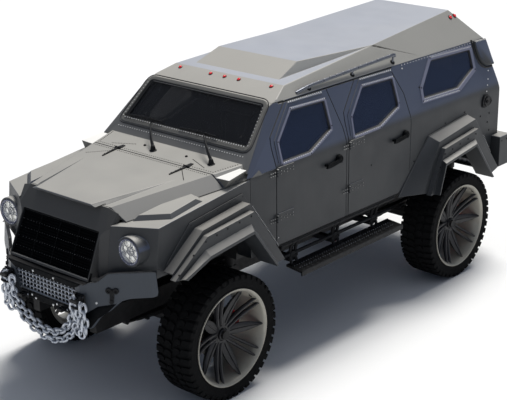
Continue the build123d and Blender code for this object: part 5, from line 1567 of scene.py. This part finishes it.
def on_tail(x, z, h=0.0):
    """A point on the rear face, above or below its bend."""
    if z > 1.842:
        p, n = RU
        y = p.y - (n.z * (z - p.z)) / n.y
        return Vector((x, y, z)) + n * h
    return Vector((x, 2.780 + h, z))


TW = [(-.40, 1.96), (.40, 1.96), (.40, 2.18), (.33, 2.25), (-.33, 2.25), (-.40, 2.18)]
b = Build()


def tw(d, h):
    return [on_tail(x, z, h) for x, z in rounded(grow(TW, d), 0.018, 4)]


b.rings([tw(0.040, -0.003), tw(0.040, 0.005), tw(0.036, 0.009), tw(0.003, 0.009), tw(0.0, 0.005), tw(0.0, -0.010)], caps=False)
b.m = 2
b.rings([tw(0.0005, -0.004), tw(-0.004, -0.004), tw(-0.011, -0.0135), tw(-0.012, -0.0165)], caps=False)
b.m = 1
for x, z in along(grow(TW, 0.024), 0.045):
    b.bolt(on_tail(x, z, 0.008), RU[1], 0.0055, 0.005, 6)
b.make("tail_window_frame", [BEZEL, BRIGHT, SEAL], "tail_door", "rim")
b = Build()
# lever, lock case and pull on the tail door
b.box(on_tail(0.500, 1.62, 0.014), (0.090, 0.030, 0.190))
b.lathe(on_tail(0.500, 1.66, 0.026), (0, 1, 0), [(0, 0.032), (0.010, 0.032), (0.022, 0.026), (0.026, 0.018), (0.026, 0.0005)], n=24)
strap(b, [on_tail(0.500, 1.66, 0.030), on_tail(0.44, 1.655, 0.040), on_tail(0.36, 1.648, 0.040), on_tail(0.31, 1.646, 0.034)], (0, 1, 0), [0.030, 0.024, 0.022, 0.026], 0.014)
strap(b, [on_tail(0.545, 1.40, 0.0), on_tail(0.545, 1.42, 0.045), on_tail(0.545, 1.50, 0.045), on_tail(0.545, 1.52, 0.0)], (1, 0, 0), 0.018, 0.014, base=-0.007)
for z in (1.40, 1.52):
    b.box(on_tail(0.545, z, 0.003), (0.040, 0.008, 0.030))
b.make("tail_handle", [BLACK], "tail_door", "black_metal", bevel=0.003)
b = Build()
for z in (1.79, 1.30):
    for dz in (-0.035, -0.006, 0.023):
        b.lathe((-0.640, 2.806, z + dz), (0, 0, 1), [(0, 0.012), (0.001, 0.0145), (0.023, 0.0145), (0.024, 0.012)], n=16)
    for k in range(6):
        for dz in ((0.022, -0.022) if k % 2 == 0 else (0.0,)):
            b.bolt((-0.575 + 0.040 * k, 2.7895, z + dz), (0, 1, 0), 0.0065, 0.006, 6)
b.make("tail_hinge", [STEEL], "tail_door", "dark_steel")
b = Build()
# pressed ribs on the tail door
for z in (1.25, 1.33, 1.41):
    strap(b, [(-0.28, 2.780, z), (-0.26, 2.780, z), (0.38, 2.780, z), (0.40, 2.780, z)], (0, 1, 0), [0.010, 0.030, 0.030, 0.010], [0.002, 0.008, 0.008, 0.002], base=-0.001)
b.make("tail_door_ribs", [PAINT], "tail_door", "paint", bevel=0.002)
b = Build()
for x, z in along([(-0.66, 2.35), (0.70, 2.35)], 0.055, closed=False) :
    b.bolt(on_tail(x, 2.362), RU[1], 0.0052, 0.004, 6)
for s in (-1, 1):
    for j in range(11):
        b.bolt((s * 0.815, 2.780, 1.24 + 0.05 * j), (0, 1, 0), 0.0052, 0.004, 6)
b.make("rear_studs", [BRIGHT], "root", "galvanised")

# tail lamps: housing, three lenses and screws
for s, side in ((1, "left"), (-1, "right")):
    b = Build()
    b.m = 0
    c = Vector((s * 0.760, 2.780, 1.600))
    out = rounded([(-0.045, -0.120), (0.045, -0.120), (0.045, 0.120), (-0.045, 0.120)], 0.016, 4)

    def case(d, h):
        return [c + Vector((u, h, v)) for u, v in grow(out, d)]
    b.rings([case(0.0, 0.0005), case(0.0, 0.016), case(-0.003, 0.019), case(-0.007, 0.019), case(-0.009, 0.012)])
    for z0, z1, m in ((0.012, 0.110, 1), (-0.052, 0.004, 2), (-0.110, -0.060, 3)):
        b.m = m
        o2 = rounded([(-0.034, z0), (0.034, z0), (0.034, z1), (-0.034, z1)], 0.010, 4)
        b.rings([[c + Vector((u, 0.011, v)) for u, v in o2], [c + Vector((u, 0.019, v)) for u, v in grow(o2, -0.001)], [c + Vector((u, 0.0235, v)) for u, v in grow(o2, -0.006)]])
        for j in range(4):
            v = z0 + (z1 - z0) * (j + 0.5) / 4
            b.box(c + Vector((0, 0.0232, v)), (0.052, 0.0012, 0.003))
    b.m = 4
    for v in (-0.1125, 0.1125):
        b.bolt(c + Vector((0.036, 0.018, v)), (0, 1, 0), 0.004, 0.003, 6)
    b.make("tail_lamp_" + side, [BLACK, RED, AMBER, LENS, BRIGHT], "root", "red_lens", replaces=("tail_lamps",) if s > 0 else ())

# rear bumper and step details
b = Build()
for s in (-1, 1):
    for x in (0.860, 0.960):
        for z in (1.05, 1.27):
            b.bolt((s * x, 2.850, z), (0, 1, 0), 0.010, 0.006, 8)
    for y in (2.69, 2.79):
        b.bolt((s * 1.050, y, 1.28), (s, 0, 0), 0.009, 0.005, 8)
for i in range(3):
    for j in range(26):
        x, y = -0.80 + 0.064 * j + (0.032 if i % 2 else 0), 2.815 + 0.062 * i
        if abs(x) < 0.83:
            b.lathe((x, y, 0.909), (0, 0, 1), [(0, 0.019), (0.004, 0.017), (0.0055, 0.014), (0.003, 0.011), (0.001, 0.009), (0.001, 0.0005)], n=12)
b.make("rear_step_grip", [BLACK], "root", "black_metal")
# the red lens material glows, so these reflectors shine as painted light
b = Build()
for s in (-1, 1):
    b.m = 0
    b.lathe((s * 0.925, 2.8505, 1.16), (0, 1, 0), [(0, 0.043), (0.008, 0.043), (0.012, 0.039), (0.009, 0.037), (0.008, 0.0005)], n=32)
    b.m = 1
    b.lathe((s * 0.925, 2.857, 1.16), (0, 1, 0), [(0, 0.036), (0.008, 0.034), (0.013, 0.024), (0.015, 0.0005)], n=32)
b.make("rear_reflectors", [BLACK, RED], "root", "red_lens")
b = Build()
# collar and safety loops of the receiver
for z in (-0.042, 0.042):
    strap(b, [(-0.046, 2.952, 0.815 + z), (0.046, 2.952, 0.815 + z)], (0, 0, 1 if z > 0 else -1), 0.014, 0.006, base=0.0)
for s in (-1, 1):
    ring = []
    for k in range(20):
        a = 2 * pi * k / 20
        ring.append(Vector((s * 0.082 + 0.026 * cos(a) * s, 2.900, 0.800 + 0.026 * sin(a))))
    b.tube(ring, 0.0055, 8, closed=True)
b.make("receiver_collar", [BLACK], "root", "black_metal")

# ------------------------------------------------------------------ seats
def block_form(size, waist):
    """A closed pillow blank: size (x, y, z) about the origin, crowned faces, sides drawn in by waist."""
    sx, sy, sz = size
    loops = []
    steps = [(-1.0, 0.90), (-0.92, 0.97), (-0.6, 1.0), (0.0, 1.0), (0.6, 1.0), (0.92, 0.97), (1.0, 0.90)]
    outline = rounded([(-sx / 2, -sy / 2), (sx / 2, -sy / 2), (sx / 2, sy / 2), (-sx / 2, sy / 2)], min(sx, sy) * 0.16, 5)
    for w, k in steps:
        loop = []
        for x, y in outline:
            pull = 1 - waist * (1 - (abs(x) / (sx / 2)) ** 2) * (1 if abs(abs(y) - sy / 2) < 0.02 else 0) - waist * (1 - (abs(y) / (sy / 2)) ** 2) * (1 if abs(abs(x) - sx / 2) < 0.02 else 0)
            loop.append(Vector((x * k * pull, y * k * pull, w * sz / 2)))
        loops.append(loop)
    b = Build()
    b.rings(loops)
    return b


def soft_mesh(name, size, waist, press, cap):
    """A cushion: a voxel-remeshed blank that is blown up by a cloth simulation with its movement capped."""
    b = block_form(size, waist)
    me = bpy.data.meshes.new(name)
    me.from_pydata([tuple(v) for v in b.v], [], b.f)
    bm = bmesh.new()
    bm.from_mesh(me)
    bmesh.ops.recalc_face_normals(bm, faces=bm.faces)
    bm.to_mesh(me)
    bm.free()
    ob = bpy.data.objects.new(name, me)
    bpy.context.scene.collection.objects.link(ob)
    mod = ob.modifiers.new("voxel", "REMESH")
    mod.mode, mod.voxel_size, mod.use_smooth_shade = "VOXEL", 0.012, True
    sm = ob.modifiers.new("relax", "SMOOTH")
    sm.factor, sm.iterations = 0.5, 4
    done = bpy.data.meshes.new_from_object(ob.evaluated_get(bpy.context.evaluated_depsgraph_get()))
    ob.modifiers.clear()
    ob.data = done
    rest = [v.co.copy() for v in done.vertices]
    scene = bpy.context.scene
    cl = ob.modifiers.new("cloth", "CLOTH")
    st = cl.settings
    st.quality = 5
    st.mass = 0.3
    st.tension_stiffness = st.compression_stiffness = 15
    st.shear_stiffness = 5
    st.bending_stiffness = 0.5
    st.use_pressure = True
    st.uniform_pressure_force = press
    st.effector_weights.gravity = 0
    cl.collision_settings.use_collision = False
    cl.point_cache.frame_start, cl.point_cache.frame_end = 1, 20
    for f in range(1, 21):
        scene.frame_set(f)
        bpy.context.view_layer.update()
    ev = ob.evaluated_get(bpy.context.evaluated_depsgraph_get())
    moved = bpy.data.meshes.new_from_object(ev)
    pts = [v.co.copy() for v in moved.vertices]
    ob.modifiers.clear()
    scene.frame_set(1)
    if len(pts) == len(rest):
        for v, a, c in zip(ob.data.vertices, rest, pts):
            d = c - a
            if d.length > cap:
                d = d.normalized() * cap
            v.co = a + d
    return ob


def channels(ob, lines, depth, width, axis=0, side=1):
    """Presses sewn channels into the faces that look along side * Z. lines are positions along the axis."""
    for v in ob.data.vertices:
        n = v.normal
        if n.z * side < 0.35:
            continue
        for p in lines:
            d = abs(v.co[axis] - p)
            if d < width * 2.2:
                v.co.z -= side * depth * (1 / (1 + (d / width) ** 2)) * min(1.0, (n.z * side - 0.35) / 0.3)


def seam_loop(ob, size, z, r=0.0042, inset=0.002):
    """Piping cord that lies on the form round its rim at the height z."""
    tree = BVHTree.FromPolygons([v.co for v in ob.data.vertices], [tuple(p.vertices) for p in ob.data.polygons])
    pts = []
    for x, y in rounded([(-size[0] / 2, -size[1] / 2), (size[0] / 2, -size[1] / 2), (size[0] / 2, size[1] / 2), (-size[0] / 2, size[1] / 2)], min(size[0], size[1]) * 0.16, 8):
        p = Vector((x * 1.4, y * 1.4, z))
        hit = tree.ray_cast(p, (Vector((0, 0, z)) - p).normalized())
        pts.append(hit[0] if hit[0] is not None else Vector((x, y, z)))
    dense = []
    for i in range(len(pts)):
        a, c = pts[i - 1], pts[i]
        k = max(1, int((c - a).length / 0.02))
        dense += [a.lerp(c, (j + 1) / k) for j in range(k)]
    out = []
    for p in dense:
        q = p * 1.0
        far = Vector((p.x * 1.4, p.y * 1.4, z))
        hit = tree.ray_cast(far, (Vector((0, 0, z)) - far).normalized())
        out.append(hit[0] if hit[0] is not None else q)
    return out


CUSHION, BACK = (0.468, 0.470, 0.150), (0.448, 0.660, 0.096)
cush = soft_mesh("seat_cushion", CUSHION, 0.035, 4.0, 0.018)
back = soft_mesh("seat_back", BACK, 0.035, 4.0, 0.016)
channels(cush, (-0.135, 0.135), 0.012, 0.010, axis=0, side=1)
channels(cush, (-0.06, 0.06), 0.008, 0.008, axis=1, side=1)
channels(back, (-0.135, 0.135), 0.011, 0.010, axis=0, side=1)
channels(back, (-0.21, -0.10, 0.01, 0.12), 0.008, 0.008, axis=1, side=1)
for form in (cush, back):
    sub = form.modifiers.new("sub", "SUBSURF")
    sub.levels = sub.render_levels = 1
    done = bpy.data.meshes.new_from_object(form.evaluated_get(bpy.context.evaluated_depsgraph_get()))
    form.modifiers.clear()
    done.materials.clear()
    done.materials.append(FABRIC)
    for p in done.polygons:
        p.use_smooth = True
    form.data = done
pipe_c = [seam_loop(cush, CUSHION, z) for z in (0.060, -0.060)]
pipe_b = [seam_loop(back, BACK, z) for z in (0.034, -0.034)]
# the back's own frame: its Z looks forward and its Y runs up
BACK_ROT = Matrix(((1, 0, 0), (0, 0, -1), (0, 1, 0)))
SEATS = [(s * x, y) for x, y in ((0.380, -0.300), (0.380, 0.620), (0.296, 1.500)) for s in (1, -1)]
for i, (x, y) in enumerate(SEATS):
    for form, pos, rot, nm in ((cush, Vector((x, y, 1.334)), Matrix.Identity(3), "cushion"), (back, Vector((x, y + 0.290, 1.612)), BACK_ROT, "backrest")):
        me = form.data.copy()
        for v in me.vertices:
            v.co = rot @ v.co + pos
        o = bpy.data.objects.new("%s_%d" % (nm, i + 1), me)
        bpy.context.scene.collection.objects.link(o)
        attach(o, "root")
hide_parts("seats")
for form in (cush, back):
    bpy.data.objects.remove(form)

b = Build()
for x, y in SEATS:
    for loop in pipe_c:
        b.tube([p + Vector((x, y, 1.334)) for p in loop], 0.0042, 6, closed=True)
    for loop in pipe_b:
        b.tube([BACK_ROT @ p + Vector((x, y + 0.290, 1.612)) for p in loop], 0.0042, 6, closed=True)
b.make("seat_piping", [TRIM], "root", "trim_fabric", angle=80)

# pedestals, runners and recliner covers
b = Build()
for x, y in SEATS:
    b.m = 0
    for s in (-1, 1):
        strap(b, [(x + s * 0.165, y - 0.200, 1.120), (x + s * 0.165, y + 0.200, 1.120)], (0, 0, 1), 0.050, 0.012)
        strap(b, [(x + s * 0.165, y - 0.185, 1.225), (x + s * 0.165, y + 0.190, 1.225)], (0, 0, 1), 0.040, 0.014)
        for yy in (-0.165, 0.165):
            b.tube([(x + s * 0.165, y + yy - 0.02, 1.130), (x + s * 0.165, y + yy, 1.150), (x + s * 0.165, y + yy + 0.01, 1.210), (x + s * 0.165, y + yy + 0.012, 1.228)], 0.012, 10)
    for yy in (-0.165, 0.165):
        b.cyl((x - 0.165, y + yy, 1.160), (x + 0.165, y + yy, 1.160), 0.009, n=10)
    b.m = 1
    for s in (-1, 1):
        out = [(y + 0.150, 1.250), (y + 0.290, 1.245), (y + 0.330, 1.300), (y + 0.320, 1.400), (y + 0.265, 1.405), (y + 0.200, 1.330)]
        out = rounded(out, 0.03, 4)
        b.prism([(x + s * 0.2385, a, c) for a, c in out], (s * 0.010, 0, 0))
        b.lathe((x + s * 0.2485, y + 0.270, 1.320), (s, 0, 0), [(0, 0.026), (0.004, 0.026), (0.006, 0.022), (0.006, 0.0005)], n=24)
b.make("seat_frames", [STEEL, TRIM], "root", "trim_plastic", bevel=0.002)

# ---------------------------------------------------------------- dashboard
b = Build()


def dash_loop(x, k=1.0):
    prof = [(-1.235, 1.600), (-1.238, 1.840), (-1.200, 1.849), (-1.000, 1.846), (-0.915, 1.835), (-0.875, 1.812), (-0.863, 1.775), (-0.872, 1.735),
            (-0.905, 1.700), (-0.915, 1.640), (-0.935, 1.605), (-1.00, 1.592)]
    return [(x, y, z if z < 1.80 else z - (1 - k) * 0.03) for y, z in prof]


b.rings([dash_loop(x, k) for x, k in ((-0.648, 0.0), (-0.640, 0.6), (-0.60, 1.0), (-0.20, 0.85), (0.16, 0.85), (0.20, 1.0), (0.60, 1.0), (0.640, 0.6), (0.648, 0.0))])
# centre console below it
b.rings([[(-0.195 * k, y0, z), (0.195 * k, y0, z), (0.195 * k, y1, z), (-0.195 * k, y1, z)] for k, y0, y1, z in
         ((0.96, -1.262, -1.045, 1.153), (1.0, -1.270, -1.032, 1.180), (1.0, -1.270, -1.030, 1.45), (0.96, -1.262, -0.960, 1.600))])
# hood over the dials
hoodp = [(-1.02, 1.838), (-0.98, 1.872), (-0.90, 1.868), (-0.868, 1.842), (-0.866, 1.82)]
b.rings([[(x, y, min(z, 1.84) + (z - min(z, 1.84)) * k) for y, z in hoodp] + [(x, -0.90, 1.80), (x, -1.02, 1.80)] for x, k in ((0.215, 0.2), (0.235, 0.8), (0.30, 1.0), (0.46, 1.0), (0.525, 0.8), (0.545, 0.2))])
b.m = 1
for x in (0.305, 0.455):
    b.lathe((x, -0.866, 1.790), (0, 1, -0.15), [(0, 0.052), (0.006, 0.052), (0.008, 0.048), (0.004, 0.046), (0.003, 0.0005)], n=32)
b.m = 2
for k in range(4):
    x = -0.16 + 0.105 * k
    b.rings([[(x - 0.040, -0.868 + d, 1.770 - e), (x + 0.040, -0.868 + d, 1.770 - e), (x + 0.040, -0.868 + d, 1.800 + e), (x - 0.040, -0.868 + d, 1.800 + e)] for d, e in ((0.0, 0.004), (0.005, 0.004), (0.007, 0.0), (0.003, -0.003))])
    for j in range(4):
        b.box((x, -0.862, 1.776 + 0.008 * j), (0.070, 0.004, 0.0022))
# grab rail for the passenger
b.tube([(-0.58, -0.872, 1.800), (-0.575, -0.845, 1.800), (-0.56, -0.835, 1.800), (-0.40, -0.832, 1.800), (-0.26, -0.835, 1.800), (-0.245, -0.845, 1.800), (-0.24, -0.872, 1.800)], 0.010, 12)
b.make("dashboard_shell", [TRIM, SCREEN_DIAL, BLACK], "root", "trim_plastic", replaces=("dashboard",), bevel=0.004, angle=40)

# ----------------------------------------------------------- steering wheel
b = Build()
C = Vector((0.380, -0.720, 1.700))
ROT = Matrix.Rotation(radians(-65), 3, "X")


def sw(x, y, z):
    return C + ROT @ Vector((x, y, z))


ring = [sw(0.190 * cos(2 * pi * k / 64), 0.190 * sin(2 * pi * k / 64), 0) for k in range(64)]
b.tube(ring, [0.0145 + 0.0015 * max(0.0, cos(4 * pi * k / 64)) for k in range(64)], 14, closed=True)
for a in (0, 180, 270):
    d = (cos(radians(a)), sin(radians(a)))
    loops = []
    for r, w, t, h in ((0.035, 0.030, 0.010, 0.010), (0.080, 0.020, 0.007, 0.008), (0.140, 0.014, 0.005, 0.002), (0.186, 0.018, 0.006, 0.0)):
        o = Vector((d[0] * r, d[1] * r, h))
        s = Vector((-d[1], d[0], 0))
        loops.append([C + ROT @ (o + s * u * w + Vector((0, 0, v * t))) for u, v in ((-1, 0), (-0.7, 0.8), (0, 1), (0.7, 0.8), (1, 0), (0.7, -0.8), (-0.7, -0.8))])
    b.rings(loops)
axis = ROT @ Vector((0, 0, 1))
b.lathe(C - axis * 0.028, axis, [(0, 0.030), (0.004, 0.046), (0.030, 0.056), (0.044, 0.054), (0.052, 0.044), (0.056, 0.025), (0.057, 0.0005)], n=40)
b.lathe(C - axis * 0.205, axis, [(0, 0.026), (0.03, 0.034), (0.10, 0.032), (0.17, 0.026), (0.18, 0.020)], n=32)
# stalks
for s in (-1, 1):
    b.tube([C - axis * 0.09 + Vector((s * 0.028, 0, 0)), C - axis * 0.085 + Vector((s * 0.08, 0, 0.008)), C - axis * 0.080 + Vector((s * 0.145, 0, 0.016))], [0.007, 0.006, 0.008], 10)
b.make("steering_wheel_rim", [TRIM], "root", "trim_plastic", replaces=("steering_wheel",), angle=50)

# ------------------------------------------------------------- leaf springs
b = Build()
for s in (-1, 1):
    for yc in (-1.790, 1.790):
        x = s * 0.360

        def arc(t, drop, half):
            """A leaf's centre line: t from -1 to 1, sitting drop below the top leaf."""
            return (x, yc + t * half, 0.674 - drop + 0.022 * (t * half / 0.56) ** 2)
        for i, half in enumerate((0.545, 0.520, 0.430, 0.335, 0.240)):
            loops = []
            for k in range(17):
                t = -1 + 2 * k / 16
                p = Vector(arc(t, 0.0075 * i, half))
                w = 0.0375 * (1.0 if abs(t) < 0.97 or i == 0 else 0.8)
                loops.append([p + Vector((-w, 0, -0.0033)), p + Vector((w, 0, -0.0033)), p + Vector((w, 0, 0.0033)), p + Vector((-w, 0, 0.0033))])
            b.m = 0
            b.rings(loops)
        for e in (-1, 1):
            b.m = 0
            o = Vector((x, yc + e * 0.545, 0.7005))
            b.lathe(o - Vector((0.0375, 0, 0)), (1, 0, 0), [(0, 0.024), (0.075, 0.024), (0.075, 0.016), (0, 0.016)], n=24, closed=True)
            b.m = 1
            b.lathe(o - Vector((0.040, 0, 0)), (1, 0, 0), [(0, 0.0155), (0.080, 0.0155)], n=20)
            # rebound clip
            yy = yc + e * 0.300
            zz = 0.674 + 0.022 * (0.300 / 0.56) ** 2
            for dx in (-0.041, 0.041):
                b.box((x + dx, yy, zz - 0.016), (0.004, 0.026, 0.046))
            b.box((x, yy, zz - 0.037), (0.086, 0.026, 0.004))
            b.cyl((x - 0.046, yy, zz + 0.009), (x + 0.046, yy, zz + 0.009), 0.0045, n=8)
        b.m = 1
        b.box((x, yc, 0.682), (0.098, 0.150, 0.010))
        for dx in (-0.043, 0.043):
            for dy in (-0.055, 0.055):
                b.bolt((x + dx, yc + dy, 0.687), (0, 0, 1), 0.010, 0.010, 6)
b.make("spring_packs", [STEEL, STEEL], "root", "dark_steel", replaces=("leaf_springs",), angle=50)

# -------------------------------------------------------- floor and light
fb = Build()
R0 = 70.0
fb.raw([(-R0, -R0, 0), (R0, -R0, 0), (R0, R0, 0), (-R0, R0, 0)], [[0, 1, 2, 3]])
fme = bpy.data.meshes.new("floor")
fme.from_pydata(fb.v, [], fb.f)
FLOOR = material("studio_floor", (0.90, 0.905, 0.91), 0.8, vary=0.015, scale=0.6, rough_vary=0.03)
fme.materials.append(FLOOR)
floor = bpy.data.objects.new("floor", fme)
bpy.context.scene.collection.objects.link(floor)

world = bpy.data.worlds.new("studio")
bpy.context.scene.world = world
world.use_nodes = True
wnt = world.node_tree
wnt.nodes.clear()
wout = node(wnt, "ShaderNodeOutputWorld")
bg = node(wnt, "ShaderNodeBackground")
wtc = node(wnt, "ShaderNodeTexCoord")
wsep = node(wnt, "ShaderNodeSeparateXYZ")
ramp = node(wnt, "ShaderNodeValToRGB")
wnt.links.new(wtc.outputs["Generated"], wsep.inputs[0])
wnt.links.new(wsep.outputs["Z"], ramp.inputs[0])
ramp.color_ramp.elements[0].position, ramp.color_ramp.elements[0].color = 0.0, (0.30, 0.38, 0.55, 1)
ramp.color_ramp.elements[1].position, ramp.color_ramp.elements[1].color = 0.75, (0.62, 0.66, 0.74, 1)
e = ramp.color_ramp.elements.new(0.30)
e.color = (0.30, 0.37, 0.52, 1)
wnt.links.new(ramp.outputs[0], bg.inputs[0])
bg.inputs[1].default_value = 0.42
wnt.links.new(bg.outputs[0], wout.inputs[0])


def area(name, loc, aim, size, power, col=(1, 1, 1)):
    d = bpy.data.lights.new(name, "AREA")
    d.shape = "RECTANGLE"
    d.size, d.size_y = size
    d.energy = power
    d.color = col
    o = bpy.data.objects.new(name, d)
    bpy.context.scene.collection.objects.link(o)
    o.location = loc
    o.rotation_mode = "QUATERNION"
    o.rotation_quaternion = (Vector(aim) - Vector(loc)).to_track_quat("-Z", "Y")
    return o


sun = bpy.data.lights.new("key", "SUN")
sun.energy = 3.4
sun.angle = radians(25)
sun.color = (1.0, 0.975, 0.93)
sun_o = bpy.data.objects.new("key", sun)
bpy.context.scene.collection.objects.link(sun_o)
sun_o.rotation_mode = "QUATERNION"
sun_o.rotation_quaternion = Vector((0.14, -0.46, -0.88)).to_track_quat("-Z", "Y")

bpy.context.scene.view_settings.view_transform = "Standard"


lo, hi = cad_box
